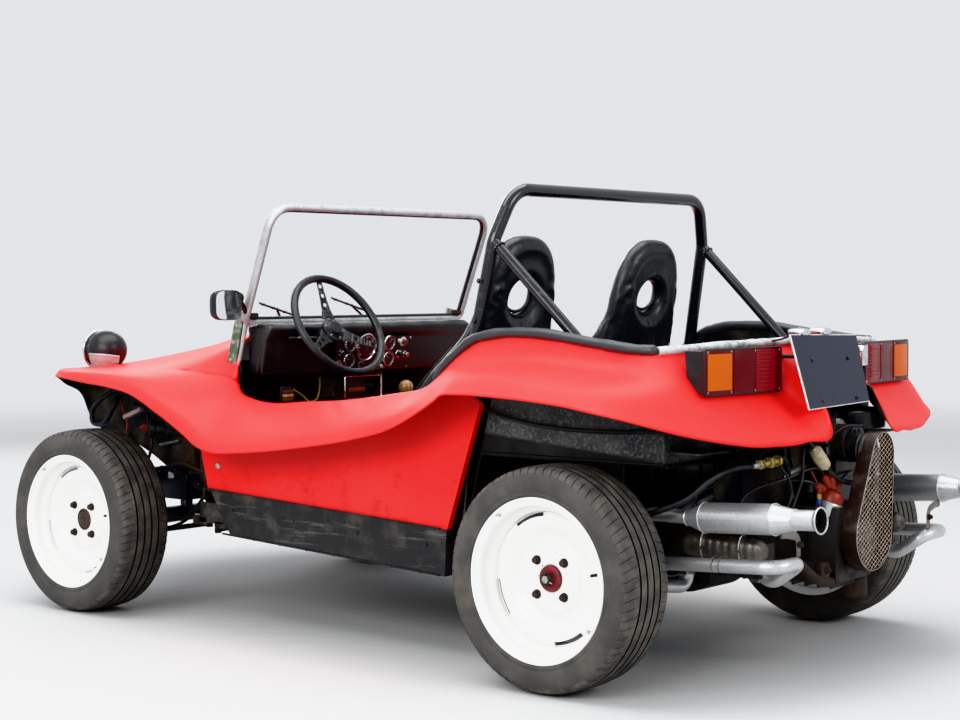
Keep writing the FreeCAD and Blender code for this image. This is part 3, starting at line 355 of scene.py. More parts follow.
# ------------------------------------------------------------------ shader maths
class Shade:
    """A value in a material.  Adding, subtracting and multiplying shades adds the Math nodes for it."""

    def __init__(self, mix, socket):
        self.mix, self.socket = mix, socket

    def _with(self, operation, a, b):
        return self.mix.node("ShaderNodeMath", {"operation": operation}, {0: a, 1: b})

    def __add__(self, other):
        return self._with("ADD", self, other)

    __radd__ = __add__

    def __sub__(self, other):
        return self._with("SUBTRACT", self, other)

    def __rsub__(self, other):
        return self._with("SUBTRACT", other, self)

    def __mul__(self, other):
        return self._with("MULTIPLY", self, other)

    __rmul__ = __mul__

    def sin(self):
        return self._with("SINE", self, 0.0)

    def between(self, low, high):
        """0 below low, 1 above high and a soft step between."""
        return self.mix.node("ShaderNodeMapRange", {"interpolation_type": "SMOOTHSTEP", "clamp": True},
                             {"Value": self, "From Min": low, "From Max": high})


def tint(colour, gain=1.0):
    """Red, green, blue and 1, from three numbers or from the name of one of the panel's colours."""
    if isinstance(colour, str):
        colour = getattr(bpy.context.scene.buggy_colours, colour)
    return tuple(c * gain for c in tuple(colour)[:3]) + (1.0,)


class Finish:
    """One material: its shader's own values, and the patterns that are mixed into it."""

    def __init__(self, name, colour, roughness=0.5, metallic=0.0, **values):
        self.material = bpy.data.materials.new(name)
        self.material.use_nodes = True
        self.tree = self.material.node_tree
        self.shader = self.tree.nodes["Principled BSDF"]
        self.material.diffuse_color = tint(colour)
        values.update(base_color=tint(colour), roughness=roughness, metallic=metallic)
        for socket, value in values.items():
            self.shader.inputs[socket.replace("_", " ").title().replace("Ior", "IOR")].default_value = value
        self.place = self.node("ShaderNodeTexCoord", output="Object")

    def node(self, kind, settings=None, inputs=None, output=0):
        """Add a node: its settings first, then values or links for its sockets; gives one output."""
        made = self.tree.nodes.new(kind)
        for key, value in (settings or {}).items():
            setattr(made, key, value)
        for key, value in (inputs or {}).items():
            if isinstance(value, Shade):
                self.tree.links.new(value.socket, made.inputs[key])
            else:
                made.inputs[key].default_value = value
        return Shade(self, made.outputs[output])

    def axis(self, k):
        """One coordinate of the object's own place: 0, 1 or 2."""
        return self.node("ShaderNodeSeparateXYZ", None, {0: self.place}, output=k)

    def noise(self, scale, detail=3.0, rough=0.5, stretch=None, distort=0.0):
        place = self.place
        if stretch:
            place = self.node("ShaderNodeMapping", None, {"Vector": place, "Scale": stretch})
        return self.node("ShaderNodeTexNoise", None, {"Vector": place, "Scale": scale, "Detail": detail,
                                                      "Roughness": rough, "Distortion": distort})

    def cells(self, scale, feature="F1"):
        return self.node("ShaderNodeTexVoronoi", {"feature": feature},
                         {"Vector": self.place, "Scale": scale})

    def blend(self, factor, a, b):
        """Mix two colours."""
        a, b = (v if isinstance(v, Shade) else tint(v) for v in (a, b))
        return self.node("ShaderNodeMix", {"data_type": "RGBA"}, {0: factor, 6: a, 7: b}, output=2)

    def feed(self, socket, value):
        self.tree.links.new(value.socket, self.shader.inputs[socket])
        return self

    def paint(self, colour):
        return self.feed("Base Color", colour)

    def rough(self, value):
        return self.feed("Roughness", value)

    def bump(self, height, distance, strength=1.0):
        made = self.node("ShaderNodeBump", None,
                         {"Height": height, "Distance": distance, "Strength": strength})
        return self.feed("Normal", made)
SKY_COLOUR, SKY_STRENGTH = (0.95, 0.97, 1.0), 0.86


class BuggyColours(bpy.types.PropertyGroup):
    """Colours of the finishes."""

    def colour(name, about, r, g, b):
        return bpy.props.FloatVectorProperty(name=name, description=about, subtype="COLOR", size=3, min=0.0,
                                             max=1.0, default=(r, g, b))

    body_red: colour("Body", "Gel coat of the moulded body", 0.82, 0.026, 0.024)
    wheel_white: colour("Wheels", "Paint on the pressed wheels", 0.88, 0.88, 0.86)
    rubber: colour("Rubber", "Tyres and hoses", 0.062, 0.060, 0.058)
    dust: colour("Dust", "Road dust that lies on rubber and black parts", 0.23, 0.205, 0.175)
    black: colour("Black paint", "Roll bar, sills and fittings", 0.016, 0.016, 0.018)
    vinyl: colour("Vinyl", "Seats and padded dashboard", 0.015, 0.016, 0.018)
    trim: colour("Deck trim", "Padded roll round the deck", 0.040, 0.043, 0.047)
    tail_trim: colour("Tail rail", "Weathered rail across the tail", 0.60, 0.61, 0.62)
    exhaust: colour("Exhaust", "Heat-proof paint on the silencers", 0.62, 0.63, 0.64)
    bronze: colour("Belt guard", "Band and mesh of the belt guard", 0.032, 0.023, 0.021)
    amber: colour("Amber lens", "Turn signals", 0.80, 0.15, 0.004)
    lens_red: colour("Red lens", "Tail lights", 0.150, 0.0035, 0.006)
    plate_blue: colour("Plate", "Blank board over the number plate", 0.014, 0.018, 0.035)
    floor: colour("Floor", "Studio floor", 0.62, 0.62, 0.62)

    del colour


class BuggySizes(bpy.types.PropertyGroup):
    """Sizes of the fine detail."""

    def length(name, about, value):
        return bpy.props.FloatProperty(name=name, description=about, unit="LENGTH", precision=4, min=0.0,
                                       default=value)

    def number(name, about, value):
        return bpy.props.IntProperty(name=name, description=about, min=1, default=value)

    body_wall: length("Body wall", "Thickness of the moulded body", 0.0045)
    blend_passes: number("Valley rounding", "How softly the bonnet runs into the fenders", 10)
    groove_depth: length("Groove depth", "Depth of the tread grooves", 0.006)
    groove_width: length("Groove width", "Width of the tread grooves", 0.0065)
    grooves: number("Grooves", "Grooves round the tread", 4)
    sipes: number("Shoulder cuts", "Cuts round each shoulder of a tyre", 72)
    rim_sheet: length("Rim sheet", "Sheet thickness of the wheels", 0.004)
    mesh_pitch: length("Guard mesh", "Width of one diamond of the belt guard", 0.022)
    stitch_gap: length("Stitch gap", "Distance between stitches on the seats", 0.009)
    fin_gap: length("Fin gap", "Distance between cylinder fins", 0.0085)

    del length, number


# ------------------------------------------------------------------ finishes
def patchy(name, body, pattern, edges, mix, rough=None, grain=None, **values):
    """One worn coat: patches of noise, cut off softly at two edges, mix two colours and change the gloss.

    body is the shader's colour, roughness and metallic; pattern is the noise's scale, detail and
    roughness; mix is the patches' share and the two colours; rough is the least roughness and what
    the patches add; grain is a second noise, for the bump, then its depth and strength.
    """
    f = Finish(name, *body, **values)
    f.patch = f.noise(*pattern)
    if edges:
        f.patch = f.patch.between(*edges)
    share, unmarked, worn = mix
    f.paint(f.blend(f.patch * share if share else f.patch, unmarked, worn))
    if rough:
        f.rough(rough[0] + f.patch * rough[1])
    if grain:
        f.bump(f.noise(*grain[:3]), *grain[3:])
    return f


def worn_metal(name, colour, roughness, scale, dirt, share, metallic=1.0, depth=0.0006):
    """Metal that is rougher and less metallic where dirt or rust lies on it."""
    f = patchy(name, (colour, roughness, metallic), (scale, 6, 0.62), (0.42, 0.72), (share, colour, dirt),
               (roughness, 0.35), (scale * 9, 3, 0.5, depth, 0.5))
    return f.feed("Metallic", metallic - f.patch * share * 0.8)


def plastic(name, colour, other, roughness=0.38, scale=60):
    """Plastic or paint of two near colours."""
    return patchy(name, (colour, roughness), (scale, 5), (0.4, 0.75), (None, colour, other),
                  grain=(scale * 4, 2, 0.5, 0.0003, 0.4))


def grained(name, colour, worn, gloss, share):
    """Leather grain: small cells with raised middles, over slow swells; worn paler where it is rubbed."""
    f = patchy(name, (colour, gloss), (5, 5, 0.6), (0.48, 0.78), (share, colour, worn), (gloss, 0.22),
               coat_weight=0.12, coat_roughness=0.3)
    return f.bump(f.cells(430, "SMOOTH_F1") * 0.5 + f.noise(60, 4) * 0.5, 0.0011, 0.5)


def rubber(name, dust_share, scale):
    """Tyre rubber under road dust, which is wiped off in large patches."""
    f = Finish(name, "rubber", 0.78, specular_ior_level=0.35)
    dust = f.noise(scale, 6, 0.62).between(0.34, 0.74)
    wiped = f.noise(3.1, 2).between(0.35, 0.65)
    f.paint(f.blend(dust * dust_share * (0.55 + wiped * 0.45), "rubber", "dust"))
    f.rough(0.62 + dust * 0.25)
    return f.bump(f.noise(260, 3), 0.0012, 0.4)


def lens(name, colour, scale):
    """Moulded lens: fine prisms set in a grid, seen through a clear gloss."""
    f = Finish(name, colour, 0.26, coat_weight=0.18, coat_roughness=0.08, specular_ior_level=0.2)
    prisms = (f.axis(1) * scale).sin() * (f.axis(2) * scale).sin()
    f.paint(f.blend(prisms.between(-0.8, 0.8) * 0.35, tint(colour, 0.6), colour))
    return f.bump(prisms, 0.0003, 0.4)


def reflector(name):
    """Brighter lens with level ribs."""
    f = Finish(name, (0.26, 0.005, 0.008), 0.28, coat_weight=0.18, coat_roughness=0.08,
               specular_ior_level=0.2)
    ribs = (f.axis(2) * 900).sin()
    f.paint(f.blend(ribs.between(-0.6, 0.6) * 0.4, (0.17, 0.004, 0.007), (0.34, 0.007, 0.011)))
    return f.bump(ribs, 0.0004, 0.5)


def body_paint(name):
    """Red gel coat, a little faded in patches, with fine specks, dust low down and a soft gloss."""
    f = Finish(name, "body_red", 0.40, coat_weight=0.06, coat_roughness=0.12, specular_ior_level=0.22)
    cloud = f.noise(2.6, 4).between(0.35, 0.7)
    red, green, blue, _ = tint("body_red")
    base = f.blend(cloud * 0.55, "body_red", (red * 1.04, green * 1.7 + 0.006, blue * 1.7 + 0.006))
    low = 1 - f.axis(2).between(0.32, 0.62)
    grime = f.noise(14, 6, 0.65).between(0.50, 0.74) * (0.05 + low * 0.42)
    specks = 1 - f.cells(46).between(0.05, 0.085)
    chips = specks * f.noise(3.3, 2).between(0.56, 0.66) * 0.75
    base = f.blend(grime, base, (0.10, 0.022, 0.016))
    f.paint(f.blend(chips, base, (0.06, 0.018, 0.016)))
    f.rough(0.37 + cloud * 0.10 + grime * 0.4 + f.noise(60, 2) * 0.03)
    return f.bump(f.noise(9, 2) * 0.7 + f.noise(420, 2) * 0.05, 0.0012, 0.35)


def underside(name):
    """Black underseal over the laminate: coarse, matt, with red overspray and road dust."""
    f = Finish(name, (0.017, 0.016, 0.016), 0.85)
    dust = f.noise(11, 6, 0.6).between(0.42, 0.78)
    spray = f.noise(5, 5, 0.7).between(0.62, 0.80)
    f.paint(f.blend(spray * 0.5, f.blend(dust * 0.55, (0.014, 0.014, 0.014), "dust"), (0.12, 0.012, 0.010)))
    f.rough(0.72 + dust * 0.2)
    return f.bump(f.noise(120, 5, 0.7), 0.003, 0.5)


def wheel_paint(name):
    """White enamel brushed over the steel: uneven gloss, yellowed runs and rust spots."""
    f = Finish(name, "wheel_white", 0.30, coat_weight=0.3, coat_roughness=0.15)
    stain = f.noise(13, 6, 0.6).between(0.58, 0.82)
    rust = (1 - f.cells(34).between(0.06, 0.10)) * f.noise(7, 2).between(0.60, 0.66)
    base = f.blend(stain * 0.35, "wheel_white", (0.62, 0.52, 0.36))
    f.paint(f.blend(rust * 0.9, base, (0.17, 0.06, 0.03)))
    f.rough(0.24 + stain * 0.35)
    return f.bump(f.noise(38, 4), 0.0012, 0.35)


def chassis_black(name):
    """Chassis paint: black, chipped to rust in places and dusty on top."""
    f = Finish(name, "black", 0.6)
    dust = f.noise(10, 6, 0.65).between(0.40, 0.75)
    rust = f.noise(24, 5, 0.7).between(0.62, 0.74)
    f.paint(f.blend(rust * 0.7, f.blend(dust * 0.38, (0.013, 0.013, 0.013), "dust"), (0.075, 0.032, 0.018)))
    f.rough(0.5 + dust * 0.35)
    return f.bump(f.noise(110, 4), 0.0014, 0.5)


def sill_black(name):
    """Sills: satin black, scuffed along their length."""
    f = Finish(name, "black", 0.45)
    scuff = f.noise(6, 6, 0.7, stretch=(0.7, 1, 9)).between(0.56, 0.72)
    dust = f.noise(16, 5, 0.6).between(0.45, 0.8)
    f.paint(f.blend(scuff * 0.5, f.blend(dust * 0.28, (0.015, 0.015, 0.016), "dust"), (0.20, 0.19, 0.175)))
    f.rough(0.36 + dust * 0.35)
    return f.bump(f.noise(150, 4) * 0.6 + scuff * 0.3, 0.0012, 0.5)


def well_black(name):
    """Luggage tub: black laminate, speckled grey above and painted near-black shade below a slanted line,
    with a haze of red overspray.
    """
    f = Finish(name, (0.03, 0.03, 0.031), 0.6)
    dust = f.noise(7, 7, 0.7).between(0.36, 0.66)
    specks = f.noise(95, 3, 0.7).between(0.50, 0.66)
    haze = f.noise(4, 5, 0.6).between(0.62, 0.84)
    # painted shade: near-black below a line that slants up towards the front, speckled grey above it
    unmarked = (f.axis(2) - (f.axis(0) - REAR_X) * 0.085 - 0.634).between(-0.006, 0.006)
    grey = f.blend(dust * 0.8, (0.034, 0.034, 0.035), (0.125, 0.124, 0.121))
    grey = f.blend(specks * 0.5, grey, (0.22, 0.22, 0.22))
    f.paint(f.blend(haze * 0.45, f.blend(unmarked, (0.008, 0.008, 0.008), grey), (0.13, 0.018, 0.014)))
    f.rough(0.42 + dust * 0.4)
    return f.bump(f.noise(26, 6, 0.7), 0.004, 0.5)


def exhaust_paint(name):
    """Silver heat-proof paint, spangled, browned in patches by heat."""
    f = Finish(name, "exhaust", 0.42, 0.75)
    burn = f.noise(7, 6, 0.65).between(0.52, 0.78)
    # blackening: patches of soot
    blackening = f.noise(31, 5, 0.7).between(0.60, 0.76)
    spangle = f.cells(190).between(0.1, 0.9)
    tone = f.blend(spangle * 0.35, "exhaust", tint("exhaust", 0.72))
    f.paint(f.blend(blackening * 0.55, f.blend(burn * 0.45, tone, (0.26, 0.215, 0.17)), (0.045, 0.04, 0.035)))
    f.rough(0.36 + burn * 0.2 + blackening * 0.2)
    return f.bump(spangle * 0.5 + f.noise(55, 4), 0.0008, 0.5)


def wood(name):
    """Turned wooden knob: rings stretched along the grain."""
    f = Finish(name, (0.30, 0.15, 0.06), 0.35, coat_weight=0.4, coat_roughness=0.15)
    grain = f.noise(38, 4, 0.6, stretch=(1, 1, 0.16), distort=0.8).between(0.35, 0.65)
    f.paint(f.blend(grain, (0.36, 0.19, 0.08), (0.15, 0.065, 0.025)))
    return f.bump(grain, 0.0003, 0.4)


def clear_glass(name):
    """Clear glass with a little film on it."""
    f = Finish(name, (0.93, 0.96, 0.95), 0.02, transmission_weight=1.0, ior=1.05, alpha=0.28)
    return f.rough(0.01 + f.noise(6, 5, 0.6).between(0.45, 0.85) * 0.06)


def lamp_glass(name):
    """Headlight glass over its reflector: upright flutes."""
    f = Finish(name, (0.80, 0.82, 0.83), 0.08, 0.35, coat_weight=1.0, coat_roughness=0.03)
    flutes = (f.axis(1) * 420).sin()
    f.paint(f.blend(flutes.between(-0.7, 0.7) * 0.4, (0.85, 0.86, 0.87), (0.45, 0.46, 0.47)))
    return f.bump(flutes, 0.0008, 0.5)


def mirror_glass(name):
    """Silvered glass."""
    f = Finish(name, (0.90, 0.92, 0.93), 0.03, 1.0)
    return f.rough(0.02 + f.noise(12, 4).between(0.5, 0.9) * 0.06)


def studio_floor(name):
    """Pale studio floor, which turns into the colour of the sky far from the middle."""
    f = Finish(name, "floor", 0.7, specular_ior_level=0.0, emission_strength=1.0)
    far = (f.axis(0) * f.axis(0) + f.axis(1) * f.axis(1)).between(9.0, 160.0)
    near = f.blend(f.noise(0.8, 3), "floor", tint("floor", 0.96))
    f.paint(f.blend(far, near, (0, 0, 0)))
    return f.feed("Emission Color", f.blend(far, (0, 0, 0), tint(SKY_COLOUR, SKY_STRENGTH)))


RECIPES = {
    # colour, roughness, scale of the dirt, its colour and share, metallic and depth of the relief
    "chrome": (worn_metal, (0.70, 0.71, 0.72), 0.08, 30, (0.30, 0.28, 0.25), 0.12, 1.0, 0.0001),
    "dull_alloy": (worn_metal, (0.56, 0.57, 0.57), 0.30, 26, (0.18, 0.17, 0.16), 0.5),
    "frame_alloy": (worn_metal, (0.50, 0.51, 0.52), 0.42, 20, (0.15, 0.148, 0.145), 0.55, 0.55, 0.0008),
    "worn_spoke": (worn_metal, (0.030, 0.030, 0.032), 0.36, 60, (0.24, 0.24, 0.24), 0.5, 0.4),
    "zinc": (worn_metal, (0.50, 0.50, 0.48), 0.35, 60, (0.12, 0.09, 0.06), 0.6),
    "rusty_steel": (worn_metal, (0.038, 0.030, 0.026), 0.66, 70, (0.078, 0.050, 0.036), 0.7, 0.3, 0.0015),
    "pulley_steel": (worn_metal, (0.10, 0.095, 0.09), 0.42, 40, (0.045, 0.030, 0.022), 0.75, 0.4, 0.0008),
    "grease_steel": (worn_metal, (0.075, 0.052, 0.040), 0.5, 50, (0.030, 0.022, 0.018), 0.7, 0.4, 0.0008),
    "engine_alloy": (worn_metal, (0.060, 0.058, 0.055), 0.52, 17, (0.008, 0.007, 0.006), 0.94, 0.5, 0.002),
    "heat_steel": (worn_metal, (0.24, 0.225, 0.21), 0.38, 13, (0.045, 0.032, 0.024), 0.88, 0.9, 0.001),
    "guard_mesh": (worn_metal, (0.46, 0.38, 0.32), 0.44, 40, (0.13, 0.09, 0.07), 0.5),
    "brass": (worn_metal, (0.52, 0.40, 0.17), 0.28, 50, (0.16, 0.12, 0.07), 0.6),
    # two colours, roughness and scale
    "red_plastic": (plastic, (0.25, 0.028, 0.014), (0.12, 0.018, 0.012)),
    "yellow_plastic": (plastic, (0.42, 0.30, 0.05), (0.22, 0.15, 0.04)),
    "blue_plastic": (plastic, (0.03, 0.06, 0.35), (0.02, 0.03, 0.16)),
    "filter_plastic": (plastic, (0.55, 0.47, 0.31), (0.30, 0.24, 0.15), 0.45, 35),
    "hub_red": (plastic, (0.20, 0.018, 0.022), (0.06, 0.02, 0.018), 0.5, 45),
    "pale_edge": (plastic, (0.62, 0.63, 0.64), (0.42, 0.42, 0.42)),
    "dial_mark": (plastic, (0.80, 0.80, 0.78), (0.60, 0.60, 0.58)),
    "pink_tube": (plastic, (0.52, 0.36, 0.36), (0.30, 0.20, 0.20), 0.5, 30),
    # colour, worn colour, roughness and how much is worn
    "seat_vinyl": (grained, "vinyl", (0.042, 0.044, 0.048), 0.33, 0.5),
    "dash_vinyl": (grained, (0.012, 0.012, 0.013), (0.050, 0.049, 0.047), 0.42, 0.6),
    "trim_vinyl": (grained, "trim", (0.105, 0.110, 0.118), 0.38, 0.6),
    "grip_leather": (grained, (0.020, 0.020, 0.022), (0.050, 0.052, 0.058), 0.34, 0.4),
    # share of dust and its scale; colour and prisms to the metre
    "tread_rubber": (rubber, 0.60, 22),
    "wall_rubber": (rubber, 0.36, 12),
    "amber_lens": (lens, "amber", 620),
    "red_lens": (lens, "lens_red", 900),
    "reflector_lens": (reflector,),
    # body, pattern, edges, mix, roughness and grain
    # near-black painted shade, laid in the tyre grooves, the generator's vent openings and the silencers'
    # mouths
    "painted_shade_black": (patchy, ((0.008, 0.008, 0.008), 0.9), (30, 3), None,
                      (None, (0.006, 0.006, 0.006), (0.014, 0.012, 0.011))),
    "thread": (patchy, ((0.30, 0.29, 0.27), 0.8), (220, 2), None,
               (None, (0.20, 0.19, 0.18), (0.36, 0.35, 0.32))),
    "dial_face": (functools.partial(patchy, coat_weight=0.6, coat_roughness=0.05),
                  ((0.012, 0.012, 0.013), 0.35), (80, 3), None,
                  (None, (0.010, 0.010, 0.011), (0.022, 0.022, 0.023))),
    "engine_tin": (functools.partial(patchy, coat_weight=0.2), ("black", 0.38), (9, 6, 0.62), (0.45, 0.8),
                   (0.32, (0.011, 0.011, 0.012), "dust"), (0.30, 0.45), (90, 3, 0.5, 0.0008, 0.4)),
    "gloss_black": (functools.partial(patchy, coat_weight=0.5, coat_roughness=0.12), ("black", 0.28),
                    (9, 6, 0.7, (1, 1, 4)), (0.55, 0.75), (0.16, "black", (0.16, 0.16, 0.165)),
                    (0.22, 0.35), (70, 3, 0.5, 0.0005, 0.3)),
    "satin_black": (patchy, ("black", 0.42), (25, 5), (0.5, 0.8), (0.25, "black", (0.07, 0.07, 0.072)),
                    (0.36, 0.25), (500, 2, 0.5, 0.0004, 0.4)),
    "tail_vinyl": (patchy, ("tail_trim", 0.5), (30, 6, 0.7), (0.42, 0.7),
                   (0.75, "tail_trim", (0.055, 0.053, 0.05)), (0.42, 0.3), (120, 5, 0.7, 0.0018, 0.6)),
    "guard_paint": (patchy, ("bronze", 0.42, 0.55), (26, 6, 0.7), (0.50, 0.70),
                    (0.55, "bronze", (0.10, 0.072, 0.060)), (0.34, 0.3), (140, 4, 0.5, 0.0009, 0.5)),
    "belt_rubber": (patchy, ((0.018, 0.018, 0.019), 0.5), (35, 4), (0.4, 0.75),
                    (0.3, (0.014, 0.014, 0.015), (0.085, 0.085, 0.085)), (0.42, 0.25),
                    (240, 2, 0.5, 0.0005, 0.4)),
    "carpet": (patchy, ((0.013, 0.013, 0.014), 0.95), (12, 6, 0.7), (0.45, 0.8),
               (0.5, (0.010, 0.010, 0.011), "dust"), None, (900, 2, 0.5, 0.003, 0.8)),
    "plate_board": (patchy, ("plate_blue", 0.32), (14, 6, 0.7, (1, 3, 1)), (0.6, 0.75),
                    (0.2, "plate_blue", (0.09, 0.10, 0.13)), (0.26, 0.3)),
    # black paint worn in patches; the bluish patches are partly a painted sheen of the sky
    "worn_black_and_blue_sheen": (patchy, ("black", 0.4), (11, 6, 0.7), (0.5, 0.72),
                    (0.6, (0.014, 0.014, 0.017), (0.075, 0.080, 0.115)), (0.34, 0.2),
                    (120, 3, 0.5, 0.0006, 0.4)),
    "bracket_paint": (patchy, ((0.20, 0.24, 0.20), 0.45, 0.5), (34, 6, 0.7), (0.42, 0.62),
                      (None, (0.10, 0.17, 0.09), (0.36, 0.37, 0.36)), (0.34, 0.25),
                      (120, 4, 0.5, 0.0008, 0.5)),
}
RECIPES.update((mix.__name__, (mix,)) for mix in (
    body_paint, underside, wheel_paint, chassis_black, sill_black, well_black, exhaust_paint, wood,
    clear_glass, lamp_glass, mirror_glass, studio_floor))


@functools.cache
def material(name):
    """The material of a finish, mixed when it is first used."""
    mix, *values = RECIPES[name]
    return mix(name, *values).material




# ------------------------------------------------------------------ stage
LENS, SENSOR = 68.26, 36.0
CAMERA_PLACE = (-2971.5, 4543.4, 1076.1)
CAMERA_TURNS = (-49.82, 2.223, -0.2)
FLOOR_RINGS = (0.0, 2.0, 6.0, 14.0, 45.0)
FLOOR_GAP = 0.0008
LAMPS = (
    # name, place, aimed at, width, length, watts
    ("top_box", (0.2, 0.6, 4.6), (0, 0, 0.4), 3.0, 6.0, 215),
    ("side_box", (-1.5, 6.2, 3.2), (0, 0, 0.6), 4.5, 2.2, 225),
    ("rear_box", (-6.0, -0.5, 3.0), (0, 0, 0.6), 3.0, 2.0, 100),
    ("front_box", (5.5, -3.5, 3.4), (0, 0, 0.6), 4.0, 2.4, 125),
)


def make_stage(sizes):
    """Floor: a round plate; light: three soft boxes and an even sky; camera: stands back and to the left."""
    scene = bpy.context.scene
    scene.view_settings.view_transform = "Khronos PBR Neutral"
    floor = Piece("studio_floor")
    turn = np.arange(96) * TURN / 96
    rings = np.array(FLOOR_RINGS)[:, None]
    disc = np.stack([rings * np.cos(turn), rings * np.sin(turn), np.zeros((5, 96)) - FLOOR_GAP], -1)
    floor.grid(disc, "studio_floor", wrap_v=True)
    data = bpy.data.meshes.new("studio_floor")
    data.from_pydata(np.concatenate(floor.points).tolist(), [], floor.faces)
    data.materials.append(material("studio_floor"))
    item = bpy.data.objects.new("studio_floor", data)
    tidy(data, 30)
    scene.collection.objects.link(item)

    world = bpy.data.worlds.new("even_sky")
    world.use_nodes = True
    world.node_tree.nodes["Background"].inputs["Color"].default_value = SKY_COLOUR + (1.0,)
    world.node_tree.nodes["Background"].inputs["Strength"].default_value = SKY_STRENGTH
    scene.world = world
    for name, place, aim, wide, long, watts in LAMPS:
        light = bpy.data.lights.new(name, "AREA")
        light.shape, light.size, light.size_y, light.energy = "RECTANGLE", wide, long, watts
        lamp = bpy.data.objects.new(name, light)
        lamp.location = place
        lamp.rotation_euler = (Vector(aim) - Vector(place)).to_track_quat("-Z", "Y").to_euler()
        scene.collection.objects.link(lamp)

    camera_data = bpy.data.cameras.new("camera")
    camera_data.lens, camera_data.sensor_width = LENS, SENSOR
    camera = bpy.data.objects.new("camera", camera_data)
    yaw, pitch, roll = (math.radians(a) for a in CAMERA_TURNS)
    ahead = np.array((math.cos(pitch) * math.cos(yaw), math.cos(pitch) * math.sin(yaw), -math.sin(pitch)))
    right = unit(np.cross(ahead, (0, 0, 1)))
    up = np.cross(right, ahead)
    right, up = (math.cos(roll) * right + math.sin(roll) * up, math.cos(roll) * up - math.sin(roll) * right)
    rows = list(zip(right, up, -ahead, spot(*CAMERA_PLACE)))
    camera.matrix_world = Matrix(rows + [(0, 0, 0, 1)])
    scene.collection.objects.link(camera)
    scene.camera = camera


# ------------------------------------------------------------------ body
FRONT_SECTIONS = [
    # x ahead of the front axle, then (y, z) of: crown, bonnet edge, bonnet side, foot, fender top,
    # fender edge, lip
    (-550, (0, 968), (430, 945), (508, 895), (530, 785), (650, 735), (745, 665), (760, 615)),
    (-400, (0, 955), (400, 912), (490, 866), (560, 806), (650, 775), (745, 735), (761, 690)),
    (-285, (0, 940), (380, 893), (480, 850), (570, 812), (650, 800), (745, 780), (762, 738)),
    (-182, (0, 925), (360, 872), (470, 838), (570, 815), (650, 808), (745, 795), (763, 757)),
    (-24, (0, 900), (330, 846), (450, 824), (560, 815), (650, 812), (745, 803), (762, 772)),
    (112, (0, 875), (300, 834), (430, 820), (530, 812), (620, 810), (722, 805), (743, 785)),
    (250, (0, 845), (270, 822), (380, 813), (480, 808), (560, 805), (632, 802), (655, 780)),
    (370, (0, 810), (220, 800), (320, 793), (390, 788), (450, 786), (492, 783), (516, 762)),
    (450, (0, 782), (120, 778), (180, 773), (225, 770), (262, 767), (292, 762), (312, 740)),
    (480, (0, 745), (60, 743), (90, 741), (110, 738), (125, 734), (138, 728), (146, 715)),
    (484, (0, 718), (55, 717), (80, 716), (98, 714), (111, 712), (122, 710), (130, 708)),
]
FLANGE_SECTIONS = [
    # x behind the cowl, then (y, z) of: cockpit edge, shoulder, edge, lip
    (-50, (558, 748), (650, 712), (744, 634), (760, 586)),
    (-122, (568, 728), (650, 690), (742, 612), (760, 569)),
    (-235, (577, 720), (655, 682), (742, 615), (760, 574)),
    (-350, (580, 729), (655, 692), (742, 628), (760, 584)),
    (-523, (583, 740), (655, 706), (742, 650), (760, 606)),
    (-731, (587, 766), (655, 732), (742, 680), (760, 640)),
    (-890, (590, 797), (655, 765), (742, 715), (760, 680)),
]
REAR_STATIONS = [
    # (x, y, z) of: deck edge, shoulder, bulge, lip; from the seam behind the cockpit round to the
    # middle of the tail
    ((445, 600, 888), (450, 640, 838), (425, 705, 797), (399, 760, 764)),
    ((380, 600, 930), (392, 625, 870), (380, 708, 822), (368, 762, 784)),
    ((322, 600, 944), (320, 622, 872), (314, 715, 832), (308, 764, 787)),
    ((177, 600, 951), (177, 625, 878), (177, 735, 838), (177, 778, 786)),
    ((-63, 600, 924), (-63, 630, 862), (-63, 750, 818), (-63, 787, 771)),
    ((-185, 600, 911), (-200, 632, 854), (-220, 740, 806), (-225, 780, 748)),
    ((-242, 585, 908), (-285, 618, 854), (-335, 662, 792), (-382, 688, 704)),
    ((-268, 500, 912), (-320, 510, 856), (-374, 518, 780), (-462, 508, 668)),
    ((-288, 380, 917), (-334, 384, 858), (-392, 392, 774), (-492, 395, 662)),
    ((-305, 262, 920), (-346, 263, 861), (-408, 268, 770), (-516, 275, 668)),
    ((-308, 215, 921), (-350, 212, 863), (-414, 206, 778), (-526, 165, 687)),
    ((-311, 203, 921), (-352, 202, 870), (-420, 196, 800), (-506, 156, 738)),
    ((-316, 180, 922), (-362, 174, 884), (-410, 166, 848), (-462, 166, 795)),
    ((-322, 120, 923), (-366, 118, 886), (-400, 114, 858), (-424, 118, 821)),
    ((-328, 55, 924), (-368, 55, 890), (-398, 55, 864), (-416, 55, 824)),
]


def net(rows, along, over):
    """Smooth net through rows of points: a curve over each row, then a curve along each column."""
    rows = np.asarray(rows, float)

    def refine(values, steps):
        span = np.linalg.norm(np.diff(values, axis=0), axis=-1).mean(-1)
        knots = np.concatenate([[0], np.cumsum(np.maximum(span, 1e-6))])
        at = np.interp(np.arange((len(values) - 1) * steps + 1) / steps, np.arange(len(values)), knots)
        return spline(values, knots, at)
    wide = refine(rows.swapaxes(0, 1), over).swapaxes(0, 1)
    return refine(wide, along)


def body_rows():
    """Left half: the bonnet from its middle to the fender's foot, and the long strip from nose to tail."""
    front = [[(WHEELBASE / MM + ahead, y, z) for y, z in half] for ahead, *half in reversed(FRONT_SECTIONS)]
    flange = [[(COWL_X / MM + back, y, z) for y, z in half] for back, *half in FLANGE_SECTIONS]
    bonnet = [row[:4] for row in front]
    strip = [row[3:] for row in front] + flange + [list(row) for row in REAR_STATIONS]
    return spots(bonnet), spots(strip)


